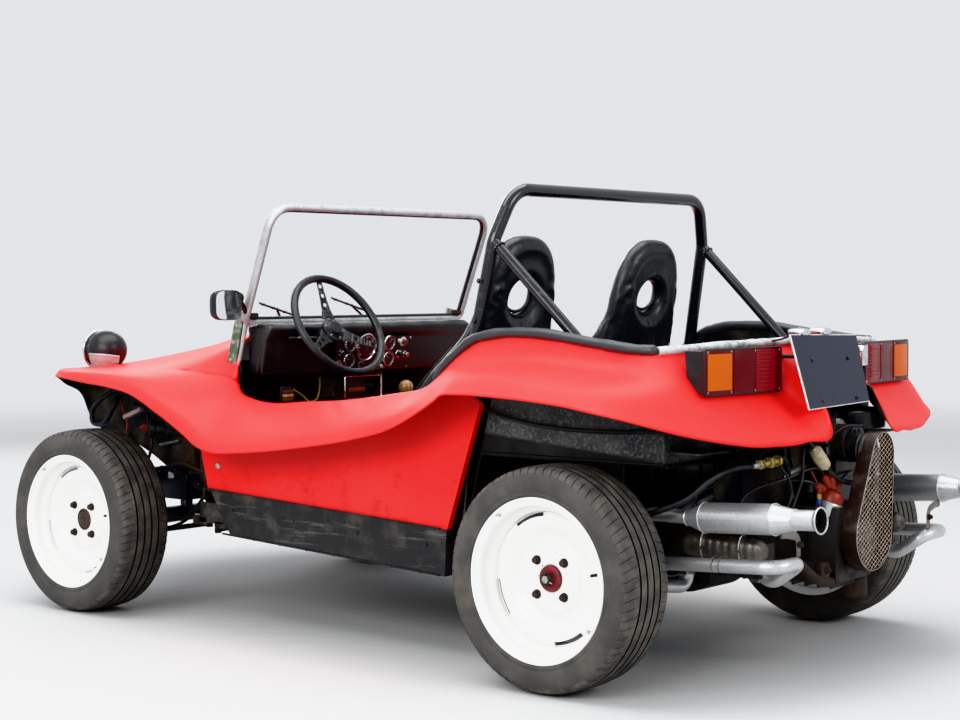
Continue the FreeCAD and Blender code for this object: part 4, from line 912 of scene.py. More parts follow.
def make_body(sizes):
    """One moulded skin: bonnet, fenders, side flanges and tail, with the valley between them rounded.

    The bonnet starts one column past its middle and the strip runs two rows past the middle of the
    tail, so that both cross it level; the extra runs are dropped before the half is mirrored.
    """
    along, over = 6, 8
    bonnet, strip = body_rows()
    other_side = (1, -1, 1)
    bonnet = np.concatenate([bonnet[:, 1:2] * other_side, bonnet], axis=1)
    half = net(bonnet, along, over)[:, over:]
    rows = (len(strip) - 1) * along + along // 2 + 1
    strip = np.concatenate([strip, strip[-1:-3:-1] * other_side])
    full = Piece("body_skin")
    full.grid(half, "body_paint")
    full.grid(net(strip, along, over)[:rows], "body_paint")
    skin = full.done(replaces=("front_body", "side_flanges", "rear_body"), mirror=True,
                     smooth=50)
    blend_valleys(skin.data, sizes.blend_passes)
    skin.data.materials.append(material("underside"))
    wall = skin.modifiers.new("wall", "SOLIDIFY")
    wall.thickness, wall.offset, wall.use_even_offset = sizes.body_wall, -1, True
    wall.material_offset, wall.material_offset_rim = 1, 0


def blend_valleys(data, passes):
    """Draw every point that is not on an edge towards its neighbours' mean, a few times over."""
    work = bmesh.new()
    work.from_mesh(data)
    bmesh.ops.remove_doubles(work, verts=work.verts, dist=0.0004)
    inner = [v for v in work.verts if not v.is_boundary]
    for _ in range(passes):
        bmesh.ops.smooth_vert(work, verts=inner, factor=0.5, use_axis_x=True, use_axis_y=True,
                              use_axis_z=True)
    bmesh.ops.recalc_face_normals(work, faces=work.faces)
    if sum(f.normal.z * f.calc_area() for f in work.faces) < 0:
        bmesh.ops.reverse_faces(work, faces=work.faces)
    work.to_mesh(data)
    work.free()


# ------------------------------------------------------------------ wheels
DISC_FACE = 0.026


def wheel_centre(name):
    return middle_of(name + "_tyre")


def outward(name):
    return 1.0 if "left" in name else -1.0


def make_tyre(name, sizes):
    """A closed section turned about the axle: walls bulge, grooves are notches in the section.

    Round the tyre the angles bunch up at each shoulder cut; there the shoulder sinks between two
    close angles.  The angles also lag with the distance from the middle, which bends the cuts.
    """
    radius, half = size_of(name + "_tyre")[2] / 2, size_of(name + "_tyre")[1] / 2
    wall = through([(82, 203), (88, 219), (96, 225), (99, 231), (98.2, 234), (101.5, 246), (102.3, 258),
                    (100.5, 273), (97.2, 283), (93, 291), (86, 298)], 4) * MM
    groove_at = (np.arange(sizes.grooves) - (sizes.grooves - 1) / 2) * 0.029
    edge = 0.074

    def crown(y):
        return radius - 0.0065 * (np.abs(y) / 0.086) ** 3

    tread = [(edge, crown(edge))]
    for y in groove_at[::-1]:
        w = sizes.groove_width / 2
        for a, sunk in ((y + w, 0), (y + w * 0.8, 1), (y - w * 0.8, 1), (y - w, 0)):
            tread.append((a, crown(a) - sunk * sizes.groove_depth))
    tread.append((-edge, crown(edge)))
    tread = np.array(tread)
    section = np.concatenate([wall, tread, (wall * (-1, 1))[::-1]])
    section[:, 0] *= half / 0.1025
    pitch = TURN / sizes.sipes
    shares = np.array([0, 0.44, 0.47, 0.54, 0.57])
    angles = (np.arange(sizes.sipes)[:, None] * pitch + shares * pitch).ravel()
    cut = np.tile([0, 0, 1.0, 1.0, 0], sizes.sipes)
    off = np.abs(section[:, 0])
    at_shoulder = np.clip((off - 0.052) / 0.004, 0, 1) * np.clip((0.1015 - off) / 0.004, 0, 1)
    at_shoulder *= section[:, 1] > radius - 0.021
    lag = 0.055 * np.clip((off - 0.05) / 0.05, 0, 1) ** 1.5
    r = section[:, 1, None] - 0.0030 * at_shoulder[:, None] * cut
    a = angles + lag[:, None]
    centre = wheel_centre(name)
    points = np.stack([centre[0] + r * np.cos(a), centre[1] + np.broadcast_to(section[:, :1], r.shape),
                       centre[2] + r * np.sin(a)], -1)
    piece = Piece(name + "_tyre_skin")
    walls, first = len(wall), len(wall)
    last = first + len(tread) - 1
    piece.grid(points[:walls - 6], "wall_rubber", wrap_v=True)
    row = walls - 7
    piece.grid(points[row:first + 2], "tread_rubber", wrap_v=True)
    # the groove walls and floors take near-black painted shade
    for k in range(sizes.grooves):
        top = first + 1 + 4 * k
        piece.grid(points[top:top + 4], "painted_shade_black", wrap_v=True)
        piece.grid(points[top + 3:top + 5], "tread_rubber", wrap_v=True)
    piece.grid(points[last:last + 8], "tread_rubber", wrap_v=True)
    piece.grid(points[last + 7:], "wall_rubber", wrap_v=True)
    piece.grid(points[[-1, 0]], "wall_rubber", wrap_v=True)
    piece.done(body=name + "_wheel", replaces=(name + "_tyre",), smooth=32)


def make_rim(name, sizes):
    """Barrel and disc, each one open section turned about the axle and given the sheet's thickness.

    Four crescents are left out of the disc where it meets the barrel.
    """
    centre, axis = wheel_centre(name), (0, outward(name), 0)
    barrel = through([(92, 222), (95, 220.5), (94.6, 217.5), (90.5, 214.5), (87.5, 206), (83, 200.6),
                      (70, 199.6), (60, 198.6), (52, 193), (43, 184.5), (36, 182.8), (10, 182.2),
                      (-20, 182), (-46, 182.6), (-56, 188), (-64, 198), (-74, 200), (-84, 201),
                      (-88.5, 208), (-91, 215), (-94, 220)], 3) * MM
    disc = through([(0, 181.5), (6.5, 178), (9, 172), (9.5, 166), (8, 150), (0, 133), (-10, 120),
                    (-14, 112), (-14, 101), (-10, 95), (-2.5, 90.5), (0, 86), (0, 70), (0, 50), (0, 40),
                    (-2, 37.4)], 3) * MM
    disc[:, 0] += DISC_FACE
    piece = Piece(name + "_wheel_skin")
    piece.grid(turned(barrel, centre, axis, 96), "wheel_paint", wrap_v=True)
    points = turned(disc, centre, axis, 120)
    n, m = points.shape[:2]
    faces = grid_faces(n, m, wrap_v=True)
    row, column = faces[:, 0] // m, faces[:, 0] % m
    reach = np.abs((column * 3.0 + 24) % 90 - 45)
    slot = (disc[row, 1] > 0.1695) & (disc[row, 1] < 0.1795) & (reach < 17)
    piece.mesh(points, faces[~slot].tolist(), "wheel_paint")
    piece.done(body=name + "_wheel", replaces=(name + "_rim",), smooth=40,
               wall=sizes.rim_sheet)

    trim = Piece(name + "_wheel_fittings")
    for k in range(4):
        a = TURN / 8 + k * TURN / 4
        place = centre + np.array((0.065 * math.cos(a), outward(name) * (DISC_FACE + 0.002),
                                   0.065 * math.sin(a)))
        trim.peg([(0, 12.5), (4, 12.5), (6, 11.5)], place, axis, "rusty_steel", 20)
        trim.peg([(6, 9.8), (14, 9.4), (15.5, 8)], place, axis, "rusty_steel", 6)
    valve = centre + np.array((-0.176, outward(name) * 0.040, 0.03))
    trim.peg([(0, 7.5), (6, 6.5), (12, 4.5), (30, 4.2), (34, 3.5)], valve, (0.35, outward(name), -0.05),
             "belt_rubber", 14)
    for a in (0.9, 3.7):
        place = centre + np.array((0.214 * math.cos(a), outward(name) * 0.0915, 0.214 * math.sin(a)))
        trim.pebble(place, (0.013, 0.0035, 0.005), 0.002, "dull_alloy", 3)
    trim.done(body=name + "_wheel", smooth=40)


def make_drum(name):
    """Drum behind the disc; a greased cap in front, or at the back a red flange with a castle nut."""
    centre, axis = wheel_centre(name), (0, outward(name), 0)
    piece = Piece(name + "_drum_skin")
    drum = np.array([(-18, 30), (-18, 86), (-37, 92), (-38, 118), (-40, 121), (-54, 122), (-56, 119),
                     (-60, 119), (-62, 122), (-78, 122), (-79, 114), (-46, 112), (-46, 46), (-58, 42),
                     (-60, 19), (-22, 19)]) * MM
    piece.turned(drum, centre, axis, "rusty_steel", 64, closed=True)
    piece.turned(np.array([(-20, 30), (-20, 34), (24, 36), (24, 30)]) * MM, centre, axis, "rusty_steel", 40,
                 closed=True)
    centre = centre + np.array((0, outward(name) * (DISC_FACE + 0.012), 0))
    if name.startswith("front"):
        cap = through([(-17.5, 0.1), (-8, 14), (-10, 24), (-13, 30), (-15, 35.4), (-22, 36)], 4)
        piece.turned(cap[::-1] * MM, centre, axis, "grease_steel", 40)
    else:
        flange = np.array([(-20, 36), (-10, 36), (-4, 34.5), (-2, 31), (-2, 22), (2, 21), (2, 0.1)])
        piece.turned(flange * MM, centre, axis, "hub_red", 40)
        piece.turned(np.array([(2, 0.1), (2, 20), (13, 20), (13.5, 17), (13.5, 0.1)]) * MM, centre, axis,
                     "rusty_steel", 6)
        piece.turned(np.array([(13, 0.1), (13, 10.5), (16.6, 10.2), (16.8, 0.1)]) * MM, centre, axis,
                     "zinc", 20)
        for k in range(6):
            a = (k + 0.5) * TURN / 6
            block = centre + np.array((0.0135 * math.cos(a), outward(name) * 0.0145, 0.0135 * math.sin(a)))
            piece.pebble(block, (0.0042, 0.0025, 0.0042), 0.001, "rusty_steel", 2)
        pin = [centre + np.array((d, outward(name) * 0.0152, d * 0.4)) for d in (-0.024, 0.024)]
        piece.tube(pin, 0.0016, "zinc", 8)
    piece.done(body=name + "_wheel", replaces=(name + "_drum",), smooth=35)


def make_wheels(sizes):
    for name in WHEELS:
        make_tyre(name, sizes)
        make_rim(name, sizes)
        make_drum(name)


# ------------------------------------------------------------------ windscreen, mirror and wipers
SCREEN_LOW, SCREEN_TOP = (1416, 530, 974), (1274, 533, 1342)
SCREEN_BENDS = (0.022, 0.085, 0.085, 0.022)


def screen_at(z, ahead=0.0):
    """x of the screen's middle plane at a height, both in millimetres."""
    (x0, _, z0), (x1, _, z1) = SCREEN_LOW, SCREEN_TOP
    return x0 + (z - z0) * (x1 - x0) / (z1 - z0) + ahead


def screen_corners(inset=0.0):
    low, top = spot(*SCREEN_LOW), spot(*SCREEN_TOP)
    lean = unit(top - low) * inset
    low, top = low + lean - (0, inset, 0), top - lean - (0, inset, 0)
    other = np.array((1, -1, 1))
    return [low, top, top * other, low * other]


def make_screen(sizes):
    """Hoop: a flattened tube along a rounded four-sided path, a rubber strip inside, brackets under it."""
    across_screen = unit(np.cross(spot(*SCREEN_TOP) - spot(*SCREEN_LOW), (0, 1, 0)))
    frame_piece = Piece("screen_frame")
    frame_piece.ring(rounded(screen_corners(), SCREEN_BENDS, 10, closed=True), 0.0165, "frame_alloy", 20,
                     wide=0.66, up=across_screen)
    seal = rounded(screen_corners(0.0115), [0.8 * bend for bend in SCREEN_BENDS], 10, closed=True)
    frame_piece.ring(seal, 0.0075, "belt_rubber", 12, wide=0.62, up=across_screen)
    for side in (1, -1):
        y = side * 520.0
        outline = [(1438, 1004), (1460, 1008), (1500, 872), (1531, 760), (1489, 752), (1457, 876),
                   (1432, 980)]
        y_in = y - 3.6
        frame_piece.plate([spot(x, y_in, z) for x, z in outline], (0, 0.0072, 0), "bracket_paint")
        leg = spots([(1418, side * 517, 978), (1450, side * 517, 866), (1482, side * 517, 754)])
        frame_piece.tube(leg, 0.0065, "frame_alloy", 10)
        for x, z in ((1460, 960), (1476, 905), (1492, 848), (1506, 795)):
            frame_piece.peg([(0, 6.6), (2.2, 5.8), (3.4, 3), (3.6, 0)], spot(x, y + side * 3.4, z),
                            (0, side, 0), "zinc", 16)
        corner = spot(1404, side * 503, 993)
        frame_piece.pebble(corner, (0.010, 0.017, 0.009), 0.004, "rusty_steel", 4)
    rail = spots([(1408, -512, 962), (1408, 0, 962), (1408, 512, 962)])
    frame_piece.tube(rail, 0.0065, "frame_alloy", 10, wide=1.9)
    frame_piece.done(replaces=("windscreen_frame",), smooth=40)
    pane = Piece("screen_pane")
    edge = rounded(screen_corners(0.007), SCREEN_BENDS, 10, closed=True)
    pane.plate(edge - across_screen * 0.0025, across_screen * 0.005, "clear_glass")
    pane.done(replaces=("windscreen_glass",), smooth=30)


def shell_form(centre, half_y, half_z, stations, corner=4.0, sides=40):
    """Superellipse sections along x; each station is x and its share of the full size.

    On a section, y over the half width and z over the half height, each to the power that corner
    gives, add up to one.
    """
    a = np.arange(sides) * TURN / sides
    c, s = np.cos(a), np.sin(a)
    r = (np.abs(c) ** corner + np.abs(s) ** corner) ** (-1 / corner)
    st = np.asarray(stations, float)
    return np.stack([np.broadcast_to(centre[0] + st[:, :1], (len(st), sides)),
                     centre[1] + half_y * st[:, 1:] * r * c, centre[2] + half_z * st[:, 1:] * r * s], -1)


def make_mirror(sizes):
    """Mirror head: superellipse sections that close towards the front, glass in the rear rim; wipers."""
    piece = Piece("door_mirror_head")
    centre = spot(1378, 650, 1029)
    head = [(0.004, 0.93), (-0.021, 0.94), (-0.023, 0.97), (-0.020, 1.0), (0.0, 0.99), (0.012, 0.90),
            (0.021, 0.70), (0.025, 0.42), (0.0255, 0.001)]
    piece.grid(shell_form(centre, 0.056, 0.048, head), "satin_black", wrap_v=True)
    piece.grid(shell_form(centre, 0.056, 0.048,
                          [(-0.018, 0.001), (-0.018, 0.94), (-0.012, 0.94), (-0.012, 0.001)]),
               "mirror_glass", wrap_v=True)
    pivot = spot(1392, 580, 1052)
    piece.peg([(-16, 0), (-15, 14), (-6, 19), (6, 19), (15, 14), (16, 0)], pivot, (0.2, 1, 0.1),
              "satin_black", 24)
    piece.tube(through([spot(1402, 536, 1004), spot(1398, 556, 1030), pivot], 4), 0.0085, "satin_black", 12)
    piece.tube(through([pivot, spot(1388, 612, 1044), spot(1382, 640, 1032)], 4), 0.0075, "satin_black", 12)
    piece.done(replaces=("door_mirror",), smooth=40)

    wipers = Piece("wiper_set")
    for pivot, low, high in (((340, 976), (280, 989), (465, 1034)), ((-60, 976), (-88, 994), (139, 1049))):
        rest = [spot(screen_at(z, 21), y, z) for y, z in (pivot, low, high)]
        foot = spot(COWL_X / MM + 12, pivot[0], 953)
        middle = (rest[1] + rest[2]) / 2
        away = np.array((0.009, 0, 0.004))
        wipers.tube(rounded([foot, rest[0] + away, middle + away, middle], 0.012, 5), 0.0042, "satin_black",
                    10)
        wipers.peg([(-4, 11), (8, 10), (12, 6)], rest[0], (0.9, 0, 0.4), "satin_black", 20)
        wipers.tube([rest[1], middle, rest[2]], 0.0032, "satin_black", 8)
        wipers.tube([rest[1] - away * 0.7, middle - away * 0.7, rest[2] - away * 0.7], 0.0026,
                    "belt_rubber", 8, wide=2.0)
        for share in (0.08, 0.35, 0.65, 0.92):
            claw = rest[1] * (1 - share) + rest[2] * share
            wipers.pebble(claw - away * 0.35, (0.005, 0.004, 0.004), 0.0015, "satin_black", 3)
    wipers.done(replaces=("wipers",), smooth=40)


# ------------------------------------------------------------------ dashboard and controls
DASH_X = 1345.0
FACE_UP = unit((-24.5, 0, 116))
FACE_OUT = unit((-116, 0, -24.5))


def on_panel(y, z):
    """A place on the instrument panel's face."""
    return spot(DASH_X - 14.3 + (916 - z) * 24.5 / 116, y, z)


def make_gauge(piece, y, z, radius, needle):
    """Chromed ring, black dial, white ticks every twelfth turn, a needle and a black hub."""
    place = on_panel(y, z)
    piece.turned([(0, 0), (0, radius), (0.004, radius), (0.0065, radius * 0.95), (0.0065, radius * 0.90),
                  (0.003, radius * 0.86), (0.003, 0)], place, FACE_OUT, "chrome", 48)
    piece.turned([(0.0031, 0), (0.0031, radius * 0.85), (0.0036, radius * 0.85), (0.0036, 0)], place,
                 FACE_OUT, "dial_face", 40)
    side = np.array((0, -1.0, 0))

    def bar(turn, start, end, width, lift, finish):
        way = side * math.cos(turn) + FACE_UP * math.sin(turn)
        over = side * math.sin(turn) - FACE_UP * math.cos(turn)
        p = place + FACE_OUT * lift
        piece.plate([p + way * start - over * width, p + way * end - over * width,
                     p + way * end + over * width, p + way * start + over * width], FACE_OUT * 0.0004,
                    finish)
    for k in range(25):
        turn = math.radians(-45 + k * 270 / 24)
        major = k % 4 == 0
        bar(turn, radius * (0.64 if major else 0.72), radius * 0.80, radius * (0.022 if major else 0.012),
            0.0037, "dial_mark")
    bar(needle, -radius * 0.15, radius * 0.66, radius * 0.02, 0.0046, "dial_mark")
    piece.turned([(0.0045, 0), (0.0045, radius * 0.09), (0.006, radius * 0.08), (0.006, 0)], place,
                 FACE_OUT, "satin_black", 16)


def knob(piece, y, z, radius, length, finish, base=None):
    place = on_panel(y, z)
    piece.turned([(0, 0), (0, radius * 1.25), (0.0015, radius * 1.25), (0.002, radius * 0.5),
                  (length * 0.4, radius * 0.45), (length * 0.45, radius * 0.95), (length * 0.9, radius),
                  (length, radius * 0.8), (length, 0)], place, FACE_OUT, finish, 20)
    if base:
        piece.turned([(0, 0), (0, radius * 1.7), (0.0018, radius * 1.6), (0.0018, 0)], place, FACE_OUT,
                     base, 24)


def make_dash(sizes):
    """Dash: one padded section carried across the car, rolled at both ends; panel, dials, console frame."""
    x = DASH_X
    section = rounded([(COWL_X / MM - 10, 964), (x + 10, 966), (x - 15, 952), (x - 9, 930), (x + 4, 912),
                       (x + 28, 797), (x + 38, 797), (x + 22, 925), (COWL_X / MM - 10, 937)], 9, 5,
                      closed=True)
    ends = np.array([0.0, 3, 8, 14])
    y = np.concatenate([-500 + ends, np.linspace(-470, 470, 40), 500 - ends[::-1]])
    shrink = np.concatenate([[0.55, 0.85, 0.97, 1], np.ones(40), [1, 0.97, 0.85, 0.55]])
    middle = section.mean(0)
    swell = 1.2 * np.sin(np.linspace(0, 9 * TURN, len(y)))
    rows = middle + (section[None] - middle) * shrink[:, None, None]
    rows[..., 1] += np.where(section[:, 1] > 945, 1.0, 0.2) * swell[:, None]
    pad = np.stack([rows[..., 0], np.broadcast_to(y[:, None], rows.shape[:2]), rows[..., 1]], -1)
    piece = Piece("dash_shell")
    piece.grid(spots(pad), "dash_vinyl", wrap_v=True, caps=True)
    for side in (1, -1):
        end = rounded([(COWL_X / MM - 15, 950), (x + 12, 950), (x + 50, 803), (COWL_X / MM - 15, 803)],
                      14, 6, closed=True)
        rows = [(0, 0.55), (2, 0.94), (5, 1.0), (13, 1.0), (17, 0.95), (19, 0.55)]
        centre = end.mean(0)
        block = [[(px, side * (496 - d), pz) for px, pz in centre + (end - centre) * share]
                 for d, share in rows]
        piece.grid(spots(block), "dash_vinyl", wrap_v=True, caps=True)
    piece.done(replaces=("dashboard",), smooth=50)

    panel = Piece("panel_fittings")
    for y, z, radius, needle in ((46, 880, 0.049, 2.2), (-68, 893, 0.027, 1.2), (-74, 838, 0.027, 2.4),
                                 (124, 893, 0.027, 0.9), (120, 838, 0.027, 2.6)):
        make_gauge(panel, y, z, radius, needle)
    knob(panel, -140, 895, 0.010, 0.016, "red_plastic", "dial_mark")
    knob(panel, -119, 899, 0.006, 0.012, "dial_mark")
    knob(panel, -153, 852, 0.009, 0.020, "chrome")
    knob(panel, -126, 852, 0.009, 0.017, "satin_black", "chrome")
    knob(panel, -28, 815, 0.008, 0.020, "chrome", "zinc")
    knob(panel, 60, 822, 0.007, 0.016, "satin_black", "zinc")
    knob(panel, 165, 866, 0.008, 0.014, "chrome")
    knob(panel, 165, 830, 0.006, 0.016, "red_plastic", "zinc")
    for y in (-176, -60, 60, 176):
        for z in (908, 808):
            panel.peg([(0, 4.2), (1.2, 3.6), (1.8, 0)], on_panel(y, z), FACE_OUT, "zinc", 12)
    panel.done(smooth=35)
    dress("satin_black", "instrument_panel")

    console = Piece("console_frame")
    (y0, y1), (z0, z1), xf = (-57, 122), (705, 781), 1364.5
    path = rounded([spot(xf, y, z) for y, z in ((y0, z0), (y1, z0), (y1, z1), (y0, z1))], 0.006, 4,
                   closed=True)
    console.ring(path, 0.0052, "chrome", 10, wide=0.7, up=(1.0, 0.01, 0.02))
    face = [(1400, y0 + 2, z0 + 2), (1400, y1 - 2, z0 + 2), (1400, y1 - 2, z1 - 2), (1400, y0 + 2, z1 - 2)]
    console.plate(spots(face), (0.004, 0, 0), "satin_black")
    for y, z in ((y0 + 16, 745), (y1 - 16, 745)):
        console.peg([(0, 9), (12, 8)], spot(1399, y, z), (-1, 0, 0), "chrome", 20)
    console.pebble(spot(1397, 32, 733), (0.004, 0.042, 0.008), 0.003, "red_plastic", 4)
    for k in range(3):
        console.pebble(spot(1426, 330, 712 + k * 13), (0.010, 0.020, 0.0052), 0.002,
                       "filter_plastic" if k == 1 else "red_plastic", 3)
    console.pebble(spot(1440, 330, 724), (0.010, 0.027, 0.034), 0.004, "satin_black", 4)
    console.tube(through(spots([(1430, 300, 745), (1425, 262, 722), (1420, 232, 700), (1418, 205, 706),
                                (1420, 188, 735), (1425, 180, 780)]), 8), 0.0021, "yellow_plastic", 8)
    console.done(smooth=40)
    dress("carpet", "console")


def make_wheel_and_column(sizes):
    """Steering wheel: an oval ring round the centre, a dished spoke for each third, one of them pierced."""
    x, y, z = 1236, 280, 961
    tilt = math.radians(31)
    back = np.array((-math.cos(tilt), 0, math.sin(tilt)))
    up, left = np.array((math.sin(tilt), 0, math.cos(tilt))), np.array((0, 1.0, 0))
    centre = spot(x, y, z)
    radius = 0.178
    turn = np.arange(120) * TURN / 120
    ring = centre + radius * (left * np.cos(turn)[:, None] + up * np.sin(turn)[:, None])
    wheel = Piece("steering_wheel_skin")
    grip = 0.0128 + 0.0006 * np.cos(24 * turn) * (np.sin(turn) < 0.2)
    wheel.ring(ring, np.concatenate([grip[-1:], grip, grip[:1]]), "grip_leather", 18, up=tuple(back))
    for k, a in enumerate(math.radians(t) for t in (90, 210, 330)):
        way = left * math.cos(a) + up * math.sin(a)
        side = up * math.cos(a) - left * math.sin(a)
        lengths = [0.040, 0.072, 0.104, 0.136, 0.168]
        widths = [0.030, 0.020, 0.016, 0.0135, 0.0125]
        rise = [-0.030, -0.0235, -0.017, -0.0105, -0.004]
        for j in range(4):
            corners = [centre + way * lengths[i] + side * s * widths[i] + back * rise[i]
                       for i, s in ((j, -1), (j, 1), (j + 1, 1), (j + 1, -1))]
            middle = sum(corners) / 4
            normal = unit(np.cross(side, corners[2] - corners[1]))
            wheel.grid(pillow(even(corners, 24), middle, normal, 0.0036, 0.0006, 0.0, 3,
                              hole=0.0068 if 0 < j else 0.0), "satin_black" if k else "worn_spoke",
                       wrap_u=True, wrap_v=True)
    wheel.peg([(-52, 30), (-36, 40), (-30, 43), (-26, 43), (-24, 36), (-20, 30), (-12, 22), (-11, 0)],
              centre, back, "satin_black", 40)
    for k in range(6):
        a = k * TURN / 6 + 0.3
        place = centre + back * -0.0245 + 0.0345 * (left * math.cos(a) + up * math.sin(a))
        wheel.bolt(place, back, 0.0032, "zinc")
    wheel.done(body="steering_wheel", smooth=40)
    shaft = Piece("steering_shaft")
    shaft.peg([(-892, 8.8), (-52, 8.8)], centre, back, "zinc", 20)
    shaft.done(body="steering_wheel", replaces=("steering_wheel",), smooth=40)
    column = Piece("column_switch")
    at = centre - back * 0.085
    column.turned([(-0.045, 0.0175), (-0.042, 0.026), (0.018, 0.027), (0.022, 0.021), (0.022, 0.0100)], at,
                  back, "satin_black", 28)
    column.tube(through([at + left * 0.02, at + left * 0.075 + up * 0.004, at + left * 0.13 + up * 0.002],
                        4), 0.0034, "zinc", 10)
    column.pebble(at + left * 0.135 + up * 0.002, (0.005, 0.018, 0.005), 0.004, "satin_black", 4)
    column.tube(through([at - left * 0.02, at - left * 0.09 - up * 0.012], 4), 0.0032, "satin_black", 10)
    column.done(smooth=40)
    dress("worn_black_and_blue_sheen", "steering_column")


def make_controls(sizes):
    """Wooden gear knob, lever grips, ribbed pedal rubbers and the rubber boot's folds."""
    piece = Piece("lever_grips")
    knob_at = spot(1194, 0, 746)
    piece.turned([(-0.026, 0.0085), (-0.022, 0.0155), (-0.012, 0.0225), (0, 0.0252), (0.012, 0.0225),
                  (0.0215, 0.0135), (0.0252, 0)], knob_at, (0.25, 0, 1), "wood", 32)
    base = spot(1105, 0, 246 + 150 + 24)
    folds = [(k * 0.009, 0.047 - k * 0.0052 + (0.0035 if k % 2 else 0)) for k in range(7)]
    piece.turned([(0.0, 0.02)] + folds + [(0.058, 0.012)], base + (0, 0, 0.004), (0.1, 0, 1), "belt_rubber",
                 36)
    a, b = spot(962, 0, 430), spot(1000, 0, 600)
    way = unit(b - a)
    piece.turned([(0.0, 0.0102), (0.004, 0.0125), (0.10, 0.0135), (0.112, 0.011), (0.114, 0)],
                 b - way * 0.11, way, "belt_rubber", 20)
    for y, x in ((150, 1600), (245, 1600), (335, 1585)):
        for k in range(5):
            z = 505 + k * 8
            piece.pebble(spot(x - 41 - k * 1.6, y, z), (0.002, 0.027, 0.0026), 0.001, "belt_rubber", 2)
    piece.done(smooth=40)
    dress("chassis_black", "floor_levers", "pedals")
    dress("zinc", "seat_rails")


# ------------------------------------------------------------------ seats
SEAT_Y, SEAT_X, SEAT_LEAN = 328.0, 542.0, math.radians(12.2)
HOLE_Z, HOLE_WIDE, HOLE_HIGH = 1066.0, 62.0, 51.0


def seat_point(y, z, forward=0.0):
    """A place on the seat's leaning back: y and z as drawn upright, forward from its rear face."""
    up = np.array((-math.sin(SEAT_LEAN), 0, math.cos(SEAT_LEAN)))
    ahead = np.array((math.cos(SEAT_LEAN), 0, math.sin(SEAT_LEAN)))
    return spot(SEAT_X, y, 430) + up * (z - 430) * MM + ahead * forward


def stuff(item, voxel, cap):
    """Stuff a closed form: even faces, air pressed in as cloth, and no point moved further than the cap."""
    remesh = item.modifiers.new("even_faces", "REMESH")
    remesh.mode, remesh.voxel_size = "VOXEL", voxel
    settle(item)
    scene = bpy.context.scene
    before = places(item.data)
    cloth = item.modifiers.new("stuffing", "CLOTH")
    cloth.settings.use_pressure = True
    cloth.settings.uniform_pressure_force = 4.0
    cloth.settings.effector_weights.gravity = 0.0
    cloth.settings.quality = 4
    for k in range(1, 16):
        scene.frame_set(k)
    after = places(item.evaluated_get(bpy.context.evaluated_depsgraph_get()).data)
    item.modifiers.remove(cloth)
    scene.frame_set(1)
    move = after - before
    far = np.linalg.norm(move, axis=1, keepdims=True)
    item.data.vertices.foreach_set("co",
                                   (before + move * np.minimum(1, cap / np.maximum(far, 1e-9))).ravel())
    item.data.update()
    smooth = item.modifiers.new("even_out", "SMOOTH")
    smooth.factor, smooth.iterations = 0.5, 4
    settle(item)
    item.data.polygons.foreach_set("use_smooth", [True] * len(item.data.polygons))


def places(data):
    out = np.empty(len(data.vertices) * 3)
    data.vertices.foreach_get("co", out)
    return out.reshape(-1, 3)


def settle(item):
    """Put what the modifiers make into the mesh, and take the modifiers off."""
    graph = bpy.context.evaluated_depsgraph_get()
    made = bpy.data.meshes.new_from_object(item.evaluated_get(graph))
    item.modifiers.clear()
    item.data = made


def make_seats(sizes):
    """Each seat is stuffed from four closed forms: a back with a hole, a cushion and two side rolls.

    Every form is a set of rays from its middle to its outline; the half thickness along a ray rises
    over a rounded edge and dips a little in the middle.
    """
    half_back = [(0, 1252), (62, 1245), (114, 1209), (147, 1150), (164, 1080), (173, 985), (181, 890),
                 (185, 790), (185, 640), (183, 440), (90, 434), (0, 433)]
    roll = [(0, 335), (420, 380), (424, 470), (410, 560), (330, 590), (250, 620), (155, 776), (98, 838),
            (42, 890), (2, 926), (-26, 956), (-54, 999), (-82, 1056), (-108, 1108), (-132, 1140),
            (-140, 1090), (-104, 960), (-40, 800)]
    roll_in = ([780, 850, 930, 990, 1050, 1110, 1140], [0, 4, 12, 20, 29, 42, 52])
    for side, name in ((1, "seat_left"), (-1, "seat_right")):
        middle = side * SEAT_Y
        half = through(half_back, 5)
        outline = np.concatenate([half, (half * (-1, 1))[-2:0:-1]])
        outline = np.array([seat_point(middle + y, z, 0.035) for y, z in outline])
        hole_at = seat_point(middle, HOLE_Z, 0.035)
        ahead = np.array((math.cos(SEAT_LEAN), 0, math.sin(SEAT_LEAN)))
        piece = Piece(name)
        outline = even(outline, 150)
        aside = unit(outline - hole_at)[:, 1]
        hole = MM / np.sqrt((aside / HOLE_WIDE) ** 2 + (1 - aside ** 2) / HOLE_HIGH ** 2)
        piece.grid(pillow(outline, hole_at, ahead, 0.076, 0.042, 0.42, 12, hole=hole), "seat_vinyl",
                   wrap_u=True, wrap_v=True)
        pad = [(SEAT_X + a, middle + b) for a, b in ((8, -150), (432, -150), (432, 150), (8, 150))]
        pad = rounded([spot(a, b, 400 + (a - SEAT_X) * 0.08) for a, b in pad], 0.06, 8, closed=True)
        piece.grid(pillow(even(pad, 96), pad.mean(0), unit(np.array((-0.08, 0, 1))), 0.125, 0.055, -0.08,
                          9), "seat_vinyl", wrap_v=True)
        for y in (-162, 162):
            edge = spots([(SEAT_X + a, middle + y, b) for a, b in roll])
            form = pillow(even(edge, 120), spot(SEAT_X + 110, middle + y, 560), np.array((0, 1.0, 0)),
                          0.046, 0.022, 0.12, 9)
            form[..., 1] -= math.copysign(MM, y) * np.interp(form[..., 2] / MM, *roll_in)
            piece.grid(form, "seat_vinyl", wrap_v=True)
        item = piece.done(replaces=("seats",), smooth=60)
        stuff(item, 0.0065, 0.007)
    make_seat_trim(sizes)


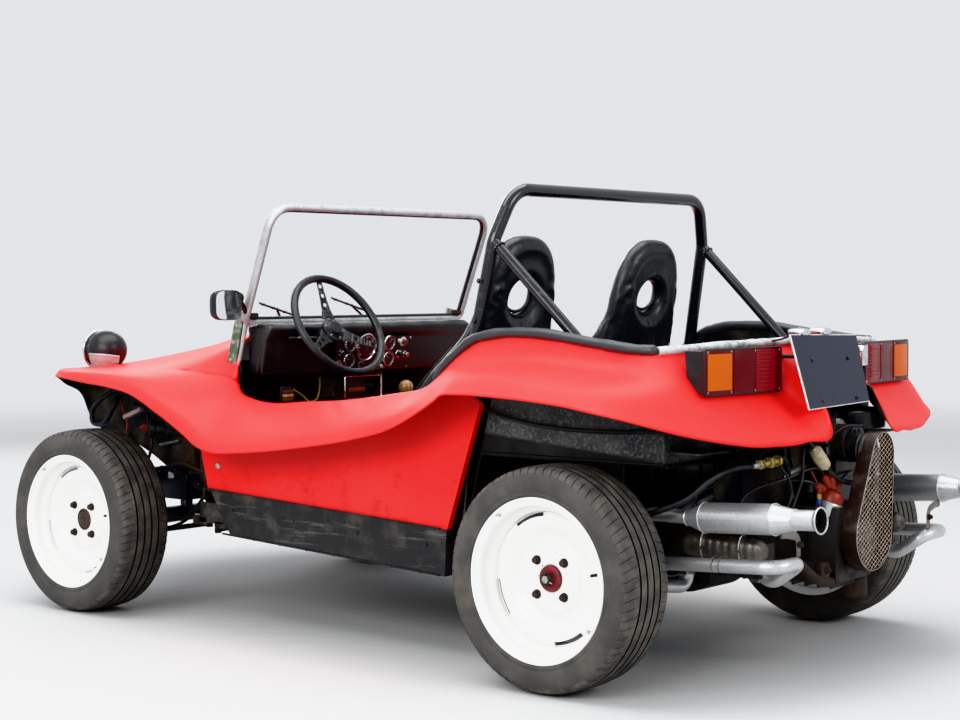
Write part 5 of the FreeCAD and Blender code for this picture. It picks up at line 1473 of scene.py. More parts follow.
def make_seat_trim(sizes):
    """Rolled ring in each seat's hole, a sewn seam below it, piping and stitches along the side rolls."""
    trim = Piece("seat_trim")
    for side in (1, -1):
        middle = side * SEAT_Y
        item = bpy.data.objects["seat_left" if side > 0 else "seat_right"]
        bpy.context.view_layer.update()
        turn = np.arange(48) * TURN / 48
        for forward, grow, thick in ((0.035, -1, 0.0048), (0.018, 11, 0.0022), (0.052, 11, 0.0022)):
            ring = np.array([seat_point(middle + (HOLE_WIDE + grow) * math.cos(t),
                                        HOLE_Z + (HOLE_HIGH + grow) * math.sin(t), forward) for t in turn])
            trim.ring(ring, thick, "belt_rubber", 10, up=(1, 0.01, 0.2))

        def pressed(y, z, forward, way):
            """The seat's surface met from outside at a place."""
            hit, where, normal, _ = item.ray_cast(Vector(seat_point(y, z, forward)), Vector(way))
            return np.array(where) + np.array(normal) * 0.0006 if hit else None
        for forward, way in ((-0.2, (1, 0, 0.19)), (0.3, (-1, 0, -0.19))):
            seam = [pressed(middle, z, forward, way) for z in range(992, 470, -18)]
            seam = [p for p in seam if p is not None]
            trim.tube(through(seam, 3), 0.0014, "belt_rubber", 6)
        top = through([(544, 926), (584, 890), (640, 838), (697, 776), (792, 622), (872, 590), (950, 562)],
                      12)
        for y in (-162, 162):
            line = spots([(a, middle + y * 1.135, b - 14) for a, b in top])
            line[:, 1] -= math.copysign(MM, y) * np.interp(line[:, 2] / MM, (780, 850, 930), (0, 4, 12))
            run = np.concatenate([[0], np.cumsum(np.linalg.norm(np.diff(line, axis=0), axis=1))])
            for start in np.arange(0.01, run[-1] - 0.01, sizes.stitch_gap):
                ends = [np.array([np.interp(start + d, run, line[:, k]) for k in range(3)])
                        for d in (0, sizes.stitch_gap * 0.6)]
                out = np.array((0, math.copysign(0.0006, y), 0))
                trim.tube([ends[0], (ends[0] + ends[1]) / 2 + out, ends[1]], 0.0008, "thread", 4)
    trim.done(smooth=50)


# ------------------------------------------------------------------ roll bar, deck edge
def make_roll_bar(sizes):
    """Weld beads where the stays meet the hoop, bolts through its legs and the stays' flat feet."""
    dress("gloss_black", "roll_bar")
    piece = Piece("roll_bar_fittings")
    for side in (1, -1):
        low, top = spot(30, side * 528, 905), spot(352, side * 540, 1210)
        way = unit(top - low)
        for place, radius in ((top - way * 0.021, 0.0172),):
            turn = np.arange(40) * TURN / 40
            _, b, c = basis(way)
            wave = radius + 0.0012 * np.sin(13 * turn)
            bead = place + wave[:, None] * (b * np.cos(turn)[:, None] + c * np.sin(turn)[:, None])
            piece.ring(bead, 0.0034, "gloss_black", 8, up=tuple(way))
        for z, x in ((1100, 384), (985, 402)):
            piece.bolt(spot(x, side * (557 + 17), z), (0, side, 0), 0.0055, "gloss_black", 0.005)
        for x in (12, 48):
            piece.bolt(spot(x, side * 534, 886), (0, side, 0), 0.006, "zinc", 0.006)
    piece.done(smooth=40)


def make_trim(sizes):
    """Padded roll on the deck edge: a tube of slightly uneven radius, gathered at its ends; tail rail."""
    deck = [row[0] for row in REAR_STATIONS]
    left = through([(530, 596, 806), (500, 599, 842)] + [tuple(p) for p in deck[:7]], 10)
    share = np.linspace(0, 1, len(left))
    radius = 0.0152 * (1 + 0.05 * np.sin(41 * share) + 0.03 * np.sin(97 * share + 1))
    tuck = np.minimum(share / 0.03, (1 - share) / 0.03)
    radius *= np.clip(0.35 + 0.65 * np.sqrt(np.clip(tuck, 0, 1)), 0, 1)
    piece = Piece("deck_roll")
    for side in (1, -1):
        piece.tube(spots(left * (1, side, 1)) + (0, 0, 0.004), radius, "trim_vinyl", 18, wide=1.1)
        end = spot(-242, side * 585, 911)
        for k in range(9):
            a = k * TURN / 9
            fold = end + 0.011 * np.array((-0.3, math.cos(a), math.sin(a)))
            piece.tube([end + (-0.004, 0, 0), (end + fold) / 2 + (-0.003, 0, 0), fold + (0.012, 0, 0)],
                       0.0022, "trim_vinyl", 6)
    piece.done(replaces=("deck_trim",), smooth=60)
    tail = [tuple(p) for p in deck[6:]]
    tail = through(tail + [(x, -y, z) for x, y, z in reversed(tail)], 8)
    wobble = 0.0122 * (1 + 0.06 * np.sin(np.linspace(0, 60, len(tail))))
    rail = Piece("tail_rail")
    rail.tube(spots(tail) + (0.004, 0, 0.003), wobble, "tail_vinyl", 16, wide=1.5)
    for side in (1, -1):
        for y in (540, 420, 300):
            x = np.interp(y, [215, 380, 585], [-314, -288, -242])
            rail.peg([(0, 4.2), (1.5, 3.6), (2, 0)], spot(x + 4, side * y, 929), (0, 0, 1), "zinc", 12)
    rail.done(smooth=60)


# ------------------------------------------------------------------ lights and plate
def slab(corners, way, thick, border, rise, piece, finish):
    """Block on four corners whose front narrows by the border: a frustum."""
    corners = np.array(corners, float)
    middle = corners.mean(0)
    inner = corners + unit(middle - corners) * border
    rows = [corners, corners + way * thick, inner + way * (thick + rise)]
    piece.grid(np.array(rows), finish, wrap_v=True, caps=True)


def make_headlights(sizes):
    """Bucket: most of a ball turned about its axis, a chrome ring and domed glass on it, a silver collar."""
    x, y, z = WHEELBASE / MM + 225, 450, 865
    for side, name in ((1, "headlight_left"), (-1, "headlight_right")):
        centre = spot(x, side * y, z)
        piece = Piece(name)
        r = 0.0712
        t = np.radians(np.linspace(180, 56, 26))
        ball = np.stack([r * np.cos(t), r * np.sin(t)], -1)
        piece.turned(np.concatenate([ball, [(0.040, 0.056), (0.0, 0.051), (-0.01, 0.0)]]), centre,
                     (1, 0, 0), "satin_black", 56)
        ring = through([(0.041, 0.060), (0.041, 0.0675), (0.0425, 0.0700), (0.0455, 0.0710),
                        (0.0485, 0.0700), (0.0510, 0.0665), (0.0495, 0.0605), (0.045, 0.058)], 4)
        piece.turned(ring, centre, (1, 0, 0), "chrome", 64, closed=True)
        dome = np.stack([0.046 + 0.013 * np.cos(np.linspace(0, 1, 10) * math.pi / 2),
                         0.062 * np.sin(np.linspace(0, 1, 10) * math.pi / 2)], -1)
        piece.turned(np.concatenate([dome, [(0.043, 0.061), (0.043, 0.0)]]), centre, (1, 0, 0),
                     "lamp_glass", 56)
        foot = through([(-0.070, 0.040), (-0.070, 0.050), (-0.066, 0.056), (-0.056, 0.0575),
                        (-0.050, 0.054), (-0.052, 0.046)], 4)
        piece.turned(foot, centre, (0, 0, 1), "frame_alloy", 56, closed=True)
        cup = through([(0.058, -0.071), (0.064, -0.055), (0.0705, -0.036), (0.0745, -0.018),
                       (0.0755, -0.010), (0.0735, -0.009), (0.0725, -0.018), (0.068, -0.036),
                       (0.060, -0.055), (0.054, -0.070)], 3)
        around = np.radians(np.linspace(86, 178, 40))
        dip = 0.010 * np.linspace(0, 1, 40) ** 2
        cup = np.stack([cup[:, 0] * np.cos(around)[:, None], side * cup[:, 0] * np.sin(around)[:, None],
                        cup[:, 1] - dip[:, None] * (cup[:, 1] > -0.04)], -1)
        piece.grid(centre + cup, "frame_alloy", wrap_v=True, caps=True)
        piece.done(replaces=("headlights",), smooth=45)


def make_tail_lights(sizes):
    """Each lamp: a black tapered housing, then lenses side by side, the outer one with an amber front."""
    for side, name in ((1, "tail_light_left"), (-1, "tail_light_right")):
        piece = Piece(name)
        outer, inner = np.array((-373.0, 564.0)), np.array((-404.0, 236.0))
        z0, z1 = 799.0, 915.0

        def face(share, z, back=0.0):
            x, y = outer + (inner - outer) * share
            return spot(x + back, side * y, z)
        way = unit(np.array((-320.0, side * -33.0, 0.0)))
        body = [face(0, z0 + 3, 6), face(1, z0 + 3, 6), face(1, z1 - 3, 6), face(0, z1 - 3, 6)]
        depth = [spot(-322, side * 565, z0 + 14), spot(-330, side * 250, z0 + 14),
                 spot(-318, side * 250, z1 - 2), spot(-312, side * 565, z1 - 2)]
        piece.grid(np.array([depth, body]), "satin_black", wrap_v=True, caps=True)
        parts = ((0.0, 0.365, "red_lens"), (0.365, 0.66, "red_lens"), (0.66, 0.92, "reflector_lens"),
                 (0.92, 1.0, "red_lens"))
        for start, end, finish in parts:
            corners = [face(start + 0.002, z0), face(end - 0.002, z0), face(end - 0.002, z1),
                       face(start + 0.002, z1)]
            back = [c - way * 0.008 for c in corners]
            slab(back, way, 0.010, 0.005, 0.002, piece, finish)
            if start == 0:
                gap = 0.05
                inner_face = [face(start + gap * 0.5, z0 + 10), face(end - gap * 0.6, z0 + 10),
                              face(end - gap * 0.6, z1 - 10), face(start + gap * 0.5, z1 - 10)]
                slab([c + way * 0.0032 for c in inner_face], way, 0.001, 0.030, 0.005, piece, "amber_lens")
            elif finish == "reflector_lens":
                for k in range(9):
                    z = z0 + 14 + k * 10.7
                    rib = [face(start + 0.03, z), face(end - 0.03, z), face(end - 0.03, z + 7),
                           face(start + 0.03, z + 7)]
                    slab([c + way * 0.0035 for c in rib], way, 0.0008, 0.0022, 0.0016, piece, finish)
        for share in (0.03, 0.33, 0.645, 0.97):
            for z in (z0 + 5, z1 - 5):
                piece.peg([(0, 3.2), (1.2, 2.6), (1.4, 0)], face(share, z) + way * 0.0035, way, "zinc", 10)
        rim = rounded([face(-0.004, z0 - 1), face(1.004, z0 - 1), face(1.004, z1 + 1),
                       face(-0.004, z1 + 1)], 0.006, 4, closed=True)
        piece.ring(rim, 0.0034, "satin_black", 8, up=tuple(way))
        if side < 0:
            piece.pebble(face(1.03, 880) - way * 0.004, (0.012, 0.016, 0.030), 0.004, "chrome", 4)
        piece.done(replaces=("tail_lights",) if side > 0 else (), smooth=35)


def make_plate(sizes):
    """Board in a pale channel, leaning under the tail, two bracket arms and two small lamps over it."""
    piece = Piece("number_board")
    (xt, zt), (xl, zl) = (-438.0, 945.0), (-496.0, 753.0)
    corners = spots([(-490, -103, 757), (-500, 247, 751), (-438, 243, 949), (-438, -119, 941)])
    way = unit(np.cross(corners[1] - corners[0], corners[3] - corners[0]))
    way = way if way[0] < 0 else -way
    slab([c - way * 0.003 for c in corners], way, 0.005, 0.0012, 0.0008, piece, "plate_board")
    edge = [c - way * 0.001 for c in corners]
    for a, b in ((1, 2), (0, 1), (2, 3), (3, 0)):
        piece.rod(edge[a], edge[b], 0.0030, "pale_edge" if (a, b) != (3, 0) else "satin_black")
    for y in (-36, 164):
        piece.tube(spots([(-450, y, 889), (-372, y, 889), (-319, y, 889)]), 0.006, "chassis_black", 10)
        for z in (880, 770):
            place = spot(xt + (xl - xt) * (zt - z) / (zt - zl) - 5, y, z)
            piece.peg([(0, 6.2), (2.2, 5), (3, 0)], place, way, "plate_board", 14)
    piece.done(replaces=("number_plate",), smooth=35)
    lamps = Piece("plate_lamps")
    for y in (52, 166):
        head = [(-0.026, 0.001), (-0.0255, 0.5), (-0.022, 0.86), (-0.012, 1.0), (0.012, 1.0), (0.024, 0.88),
                (0.026, 0.001)]
        lamps.grid(shell_form(spot(-422, y, 956), 0.026, 0.0105, head, 3.0, 28), "chrome", wrap_v=True)
        lamps.peg([(0, 4.2), (3, 3.6), (4, 0)], spot(-422, y, 966), (0, 0, 1), "zinc", 12)
        lamps.tube(spots([(-404, y, 950), (-366, y, 936), (-335, y, 930)]), 0.0028, "belt_rubber", 8)
    lamps.done(smooth=45)


# ------------------------------------------------------------------ engine and exhaust
def hose(piece, points, radius, finish="belt_rubber", steps=8, sides=12, side=1):
    """A round hose through places given in millimetres; side -1 puts it on the other side of the car."""
    return piece.tube(through(spots(points) * (1, side, 1), steps), radius, finish, sides)


ENGINE_HOSES = (
    # radius and the places that the hose runs through
    (0.0072, [(-470, 97, 576), (-485, 55, 545), (-500, 9, 534), (-503, -42, 540), (-502, -70, 563),
              (-496, -62, 600), (-470, -80, 634), (-430, -140, 640)]),
    (0.0062, [(-470, 172, 641), (-462, 205, 668), (-430, 235, 676), (-380, 255, 640), (-330, 262, 600)]),
    (0.0085, [(-120, 560, 452), (-200, 545, 478), (-300, 521, 524), (-345, 499, 566), (-380, 476, 592),
              (-408, 447, 604), (-431, 424, 607)]),
    (0.0078, [(-430, 292, 612), (-428, 262, 618), (-420, 230, 600), (-415, 210, 560), (-420, 200, 500)]),
    (0.0046, [(-450, 188, 640), (-452, 197, 608), (-455, 205, 560), (-452, 225, 520), (-450, 249, 483),
              (-440, 262, 450)]),
    (0.0036, [(-440, 300, 600), (-452, 270, 560), (-455, 262, 520), (-450, 290, 470)]),
    (0.0036, [(-505, -40, 690), (-480, 10, 690), (-470, 60, 672), (-468, 110, 660)]),
    (0.005, [(-330, 340, 640), (-400, 300, 660), (-440, 220, 652), (-452, 150, 668), (-450, 60, 684)]),
)


def make_fins(sizes):
    """Fins round the barrels, and upright ones beside the heads."""
    fins = Piece("cylinder_fins")
    gap = sizes.fin_gap
    for side in (1, -1):
        for x in (-200, -345):
            for k in range(int(0.180 / gap)):
                y = 0.108 + k * gap
                box = rounded(spots([(x - 70, 0, 310), (x + 70, 0, 310), (x + 70, 0, 428),
                                     (x - 70, 0, 428)]), 0.02, 4, closed=True)
                fins.plate(box + (0, side * y, 0), (0, side * 0.0022, 0), "engine_alloy")
        for k in range(9):
            y = side * (0.306 + k * 0.0082)
            fin = spots([(-432, 0, 392), (-124, 0, 392), (-124, 0, 438), (-432, 0, 438)])
            fins.plate(fin + (0, y, 0), (0, side * 0.0022, 0), "engine_alloy")
    fins.done(smooth=30)


def make_covers():
    """Rocker covers: pressed tin with ripples, held by wire bails."""
    covers = Piece("rocker_covers")
    for side in (1, -1):
        x = np.linspace(-1, 1, 61)
        ripple = 1 + 0.055 * np.abs(np.sin(x * 5.5 * math.pi)) * (np.abs(x) < 0.92)
        share = np.sqrt(np.clip(1 - np.abs(x) ** 9, 0, 1)) * ripple
        stations = np.stack([x * 0.135, np.maximum(share, 0.001)], -1)
        covers.grid(shell_form(spot(-322, side * 388, 378), 0.023, 0.031, stations, 2.6, 30), "heat_steel",
                    wrap_v=True)
        for dx in (-60, 60):
            covers.tube(through(spots([(-322 + dx, side * 372, 412), (-322 + dx, side * 402, 414),
                                       (-322 + dx, side * 414, 380), (-322 + dx, side * 402, 346),
                                       (-322 + dx, side * 380, 340)]), 4), 0.0026, "zinc", 8)
    covers.done(smooth=45)


def make_ducts():
    """Air ducts and the tin round the fan housing."""
    tin = Piece("engine_ducts")
    tin.pebble(spot(52, 0, 528), (0.004, 0.330, 0.100), 0.003, "engine_tin", 4)
    for y in (-210, -70, 70, 210):
        tin.pebble(spot(48, y, 528), (0.005, 0.012, 0.085), 0.004, "engine_tin", 3)
    for side in (1, -1):
        hose(tin, [(-276, side * 338, 432), (-280, side * 300, 476), (-295, side * 249, 506),
                   (-318, side * 150, 530), (-345, side * 60, 560), (-360, side * 20 - 150, 600)], 0.0155,
             "heat_steel", 6, 16)
        tin.pebble(spot(-297, side * 180, 448), (0.105, 0.085, 0.012), 0.006, "engine_tin", 5)
        tin.peg([(0, 28), (4, 30), (50, 30), (54, 27)], spot(-292, side * 262, 560), (0, 0, 1),
                "engine_tin", 32)
        hose(tin, [(-235, side * 300, 500), (-180, side * 330, 470), (-120, side * 345, 420),
                   (-60, side * 330, 380)], 0.026, "belt_rubber", 6, 18)
    for k in range(12):
        tin.pebble(spot(-300, -150 + 27 * k, 640 - abs(k - 5) * 2), (0.049, 0.004, 0.004), 0.002,
                   "engine_tin", 2)
    tin.turned([(0.0, 0.152), (0.004, 0.156), (0.012, 0.156), (0.016, 0.152)], spot(-352, -35, 640),
               (1, 0, 0), "engine_tin", 64)
    tin.peg([(-2, 118), (0, 122), (2, 118)], spot(-346, -35, 640), (1, 0, 0), "chassis_black", 48)
    tin.done(smooth=40)


def make_drive():
    """Two grooved pulleys and the belt round them."""
    drive = Piece("belt_drive")
    for (y, z, r), x, inner in (((0, 362, 0.066), -522, 0.052), ((-35, 622, 0.046), -520, 0.033)):
        groove = [(-0.016, 0), (-0.016, r * 0.55), (-0.011, r * 0.62), (-0.0105, r * 1.03),
                  (-0.006, r * 1.03), (-0.001, inner), (0.001, inner), (0.006, r * 1.03),
                  (0.0105, r * 1.03), (0.014, r * 0.7), (0.016, 0)]
        drive.turned(groove, spot(x, y, z), (1, 0, 0), "pulley_steel", 56)
        drive.bolt(spot(x - 15, y, z), (-1, 0, 0), 0.012, "pulley_steel", 0.010)
    low, top = spot(-521, 0, 362), spot(-521, -35, 622)
    lean = unit(top - low)
    flat = np.cross((1.0, 0, 0), lean)
    turn_low, turn_top = np.linspace(math.pi, TURN, 20), np.linspace(0, math.pi, 20)
    loop = [low + 0.0615 * (flat * math.cos(t) + lean * math.sin(t)) for t in turn_low]
    loop += [top + 0.0425 * (flat * math.cos(t) + lean * math.sin(t)) for t in turn_top]
    drive.ring(np.array(loop), 0.0062, "belt_rubber", 8, up=(1.0, 0.001, 0.002))
    drive.done(replaces=("belt_pulleys",), smooth=35)


def make_fuel_parts():
    """Generator, its strap, and the carburettor under its air cleaner."""
    fuel = Piece("generator_and_carburettor")
    y, z = -35, 640
    fuel.turned([(-0.060, 0.018), (-0.058, 0.050), (-0.05, 0.0545), (-0.044, 0.0545), (-0.042, 0.0528),
                 (0.05, 0.0528), (0.052, 0.0545), (0.06, 0.0545), (0.07, 0.050)], spot(-424, y, z),
                (1, 0, 0), "engine_alloy", 48)
    # near-black pebbles paint the shade in the generator's vent openings
    for a in np.arange(10) * TURN / 10:
        vent = spot(-488, y, z) + 0.036 * np.array((0, math.cos(a), math.sin(a)))
        fuel.pebble(vent, (0.004, 0.006, 0.006), 0.003, "painted_shade_black", 2)
    strap = spot(-430, y, z) + 0.0555 * np.stack([np.zeros(40), np.cos(np.arange(40) * TURN / 40),
                                                  np.sin(np.arange(40) * TURN / 40)], -1)
    fuel.ring(strap, 0.0026, "zinc", 6, wide=5.0, up=(1.0, 0.01, 0))
    fuel.bolt(spot(-430, y, z + 58), (0, 0, 1), 0.005, "zinc")
    fuel.peg([(-30, 80), (-26, 94), (20, 96), (26, 90), (30, 70), (34, 30), (44, 14), (46, 0)],
             spot(-385, -200, 700), (0, 0, 1), "engine_tin", 56)
    fuel.peg([(-80, 34), (-50, 38), (-45, 28), (0, 30)], spot(-385, -180, 668), (0, 0, 1), "dull_alloy", 28)
    fuel.pebble(spot(-412, -175, 630), (0.020, 0.016, 0.014), 0.006, "dull_alloy", 4)
    hose(fuel, [(-385, -120, 705), (-395, -70, 716), (-420, -20, 704), (-440, 20, 672), (-438, 60, 640)],
         0.011, "belt_rubber", 6, 14)
    fuel.done(smooth=40)


def make_ignition():
    """Distributor, plug leads, fuel filter, unions and the hoses round the engine."""
    spark = Piece("ignition_and_fuel_lines")
    centre = spot(-462, 74, 470)
    lean = unit(np.array((-0.35, -0.15, 1.0)))
    spark.peg([(-60, 16), (-30, 18), (-26, 30), (-20, 34), (14, 36), (18, 33)], centre, lean, "dull_alloy",
              40)
    spark.peg([(18, 34), (30, 33), (45, 24), (48, 0)], centre, lean, "red_plastic", 36)
    towers = ((143, 533), (104, 548), (74, 545), (36, 524))
    plugs = ((-205, 352, 448), (-350, 352, 448), (-205, -352, 448), (-350, -352, 448))
    for (ty, tz), plug in zip(towers, plugs):
        tip = spot(-470, ty, tz)
        root = centre + lean * 0.036
        way = unit(tip - root)
        spark.peg([(-14, 9.5), (0, 10.5), (18, 10), (20, 6.8), (26, 6.2)], tip - way * 0.012, way,
                  "red_plastic", 18)
        far = tip + way * 0.03
        end = spot(*plug)
        hump = (far + end) / 2 + (-0.02, 0, 0.05)
        spark.tube(through([tip + way * 0.01, far, hump, end + (0, 0, 0.045), end + (0, 0, 0.0)], 8),
                   0.0036, "belt_rubber", 8)
        spark.turned([(-0.03, 0.007), (0, 0.0085), (0.022, 0.0075), (0.03, 0.0045)], end + (0, 0, 0.006),
                     (0, 0.05, 1), "satin_black", 14)
    low, top = spot(-470, 109, 586), spot(-470, 164, 634)
    way = unit(top - low)
    length = float(np.linalg.norm(top - low))
    spark.turned([(-0.014, 0.0045), (-0.004, 0.0045), (0, 0.012), (0.004, 0.0182), (length * 0.45, 0.0188),
                  (length * 0.5, 0.0198), (length * 0.55, 0.0188), (length - 0.004, 0.0178),
                  (length, 0.012), (length + 0.004, 0.0045), (length + 0.014, 0.0045)], low, way,
                 "filter_plastic", 32)
    for radius, path in ENGINE_HOSES:
        hose(spark, path, radius)
    union = spot(-430, 421, 607)
    way = unit(spot(-430, 288, 612) - union)
    for a, b, r, sides in ((0, 0.030, 0.0085, 24), (0.030, 0.052, 0.0135, 6), (0.052, 0.080, 0.0105, 24),
                           (0.080, 0.098, 0.0155, 6), (0.098, 0.122, 0.0098, 24),
                           (0.122, 0.130, 0.016, 24)):
        spark.turned([(a, 0), (a, r * 0.94), (a + 0.0015, r), (b - 0.0015, r), (b, r * 0.94), (b, 0)],
                     union, way, "brass" if sides == 6 or a > 0.05 else "zinc", sides)
    hose(spark, [(-470, 140, 470), (-475, 142, 504), (-470, 150, 540), (-460, 165, 575)], 0.0022,
         "red_plastic", 6, 8)
    for k, part in enumerate(("blue_plastic", "yellow_plastic", "red_plastic")):
        spark.pebble(spot(-472, 144 - k, 490 + k * 15), (0.005, 0.006, 0.0075), 0.003, part, 3)
    spark.done(smooth=40)


def make_underparts():
    """Oil strainer plate, cooling ribs and the pipe under the case."""
    under = Piece("engine_underparts")
    under.peg([(-8, 45), (6, 75), (12, 75)], spot(-320, 0, 252), (0, 0, 1), "engine_alloy", 40)
    for k in range(6):
        under.bolt(spot(-320 + 62 * math.cos(k * TURN / 6), 62 * math.sin(k * TURN / 6), 248), (0, 0, -1),
                   0.005, "zinc")
    for k in range(9):
        under.plate(spots([(-480 + k * 40, -92, 262), (-476 + k * 40, -92, 262), (-476 + k * 40, -92, 244),
                           (-480 + k * 40, -92, 244)]), (0, 0.184, 0), "engine_alloy")
    for y in (-70, 40, 150):
        under.pebble(spot(-486, y, 300), (0.014, 0.022, 0.026), 0.008, "rusty_steel", 4)
        under.bolt(spot(-499, y, 306), (-1, 0, 0), 0.009, "rusty_steel")
    hose(under, [(-470, 240, 330), (-488, 200, 290), (-486, 120, 268), (-480, 30, 262), (-470, -60, 250)],
         0.014, "rusty_steel", 6, 14)
    under.peg([(-30, 30), (-22, 34), (22, 34), (30, 26), (34, 12)], spot(-470, -64, 236), (0, 0.1, 1),
              "rusty_steel", 28)
    under.done(smooth=40)


def make_engine(sizes):
    """Finishes on the engine's bare parts, then its fittings, one group after the other."""
    dress("engine_alloy", "engine_case", "cylinder_banks")
    dress("engine_tin", "fan_shroud", "generator")
    make_fins(sizes)
    make_covers()
    make_ducts()
    make_drive()
    make_fuel_parts()
    make_ignition()
    make_underparts()


def make_exhaust(sizes):
    """Paint on the silencers and pipes; weld rings, joint bands, brackets."""
    dress("exhaust_paint", "mufflers", "header_pipes")
    piece = Piece("exhaust_fittings")
    rise = math.radians(3.1)
    way = np.array((-math.cos(rise), 0, math.sin(rise)))
    for side in (1, -1):
        start = spot(-264, side * 479, 465)
        for run, radius, tube in ((0.003, 0.0215, 0.003), (0.0575, 0.0415, 0.0016),
                                  (0.2725, 0.0415, 0.0016), (0.331, 0.0275, 0.0018)):
            _, b, c = basis(way)
            turn = np.arange(48) * TURN / 48
            wave = radius + 0.0004 * np.sin(17 * turn)
            outwards = b * np.cos(turn)[:, None] + c * np.sin(turn)[:, None]
            ring = start + way * run + wave[:, None] * outwards
            piece.ring(ring, tube, "exhaust_paint", 8, up=tuple(way))
        mouth = start + way * 0.4045
        _, b, c = basis(way)
        turn = np.arange(48) * TURN / 48
        piece.ring(mouth + 0.0335 * (b * np.cos(turn)[:, None] + c * np.sin(turn)[:, None]), 0.0024,
                   "exhaust_paint", 10, up=tuple(way))
        # a near-black cup set in each mouth paints the shade in the pipe's dark inside
        blackening = [(-0.030, 0), (-0.030, 0.0224), (-0.0104, 0.0226), (-0.0006, 0.0304), (-0.0002, 0.0298),
                (-0.0108, 0.0214), (-0.020, 0.0212), (-0.020, 0)]
        piece.turned(blackening, mouth, way, "painted_shade_black", 48)
        for x in (-351, -372):
            a = turn[:40] * 1.2
            circle = 0.0205 * np.stack([np.zeros(40), np.cos(a), np.sin(a)], -1)
            piece.ring(spot(x, side * 479, 347.5) + circle, 0.0022, "heat_steel", 8, up=(1.0, 0.01, 0))
        strip = spots([(-541, side * 372, 372), (-541, side * 372, 425), (-536, side * 430, 437),
                       (-536, side * 452, 437)])
        piece.tube(rounded(strip, 0.02, 5), 0.0035, "heat_steel", 6, wide=3.2, up=(1.0, 0.02, 0.03))
        piece.bolt(spot(-545, side * 372, 404), (-1, 0, 0), 0.007, "rusty_steel")
        for x in (-170, -400):
            piece.peg([(-6, 26), (4, 26)], spot(x, side * 340, 294), (0, 0, 1), "heat_steel", 6)
    piece.done(smooth=40)


def make_guard(sizes):
    """Band round two unequal circles, its front edge rolled; diamond mesh from two sets of slanted wires.

    A wire at height h along the slant keeps the part that is inside every edge of the outline.
    """
    (y0, z0, r0), (y1, z1, r1) = (0.0, 0.394, 0.104), (-0.052, 0.615, 0.062)
    axis = unit(np.array((y1 - y0, z1 - z0)))
    over = np.array((axis[1], -axis[0]))
    spread = math.asin((r0 - r1) / math.hypot(y1 - y0, z1 - z0))
    lower = np.linspace(math.pi - spread, TURN + spread, 40)
    upper = np.linspace(spread, math.pi - spread, 28)
    loop = [np.array((y0, z0)) + r0 * (over * math.cos(t) + axis * math.sin(t)) for t in lower]
    loop += [np.array((y1, z1)) + r1 * (over * math.cos(t) + axis * math.sin(t)) for t in upper]
    loop = np.array(loop)
    inward = -unit(loop - loop.mean(0))

    def band(x, inset):
        return np.stack([np.full(len(loop), REAR_X + x * MM), *(loop + inward * inset).T], -1)
    piece = Piece("belt_guard_skin")
    rows = [band(-521, 0), band(-559, 0), band(-563, 0.0012), band(-564.5, 0.004), band(-563, 0.0062),
            band(-559, 0.005), band(-555, 0.0025), band(-521, 0.0025)]
    piece.grid(np.array(rows), "guard_paint", wrap_u=True, wrap_v=True)
    piece.ring(band(-563.8, 0.0036), 0.0010, "guard_mesh", 8, up=(1.0, 0.001, 0.001))
    edge = loop + inward * 0.0065
    tangent = np.roll(edge, -1, 0) - edge
    normal = np.stack([tangent[:, 1], -tangent[:, 0]], -1)
    normal *= np.sign((normal * (edge.mean(0) - edge)).sum(1))[:, None]
    slant = math.radians(33)
    for sign in (1, -1):
        way = np.array((math.cos(slant), sign * math.sin(slant)))
        square = np.array((-way[1], way[0]))
        reach = edge @ square
        for h in np.arange(reach.min() + 0.003, reach.max(), sizes.mesh_pitch * math.sin(slant)):
            start = square * h
            speed, room = normal @ way, ((start - edge) * normal).sum(1)
            at = -room / np.where(np.abs(speed) < 1e-9, 1e-9, speed)
            low, high = at[speed > 0].max(), at[speed < 0].min()
            if high - low < 0.004:
                continue
            a, b = start + way * low, start + way * high
            x = REAR_X - (0.5612 if sign > 0 else 0.5624)
            piece.tube([(x, *a), (x, *((a + b) / 2)), (x, *b)], 0.0009, "guard_mesh", 4, wide=1.25,
                       up=(1.0, 0.001, 0.001))
    for y in (-72, 72):
        piece.tube(spots([(-503, y, 362), (-515, y, 362), (-530, y, 362)]), 0.005, "guard_paint", 8)
    piece.done(replaces=("belt_guard",), smooth=35)


# ------------------------------------------------------------------ chassis and running gear
def bellows(piece, low, high, thin, thick, folds, finish):
    """Rubber boot: its radius swings between two values along its axis."""
    low, high = np.asarray(low), np.asarray(high)
    long = float(np.linalg.norm(high - low))
    t = np.linspace(0, 1, folds * 6 + 1)
    radius = thin + (thick - thin) * np.sin(t * folds * math.pi) ** 2
    rows = np.concatenate([[(0, 0)], np.stack([t * long, radius], -1), [(long, 0)]])
    return piece.turned(rows, low, high - low, finish, 28)


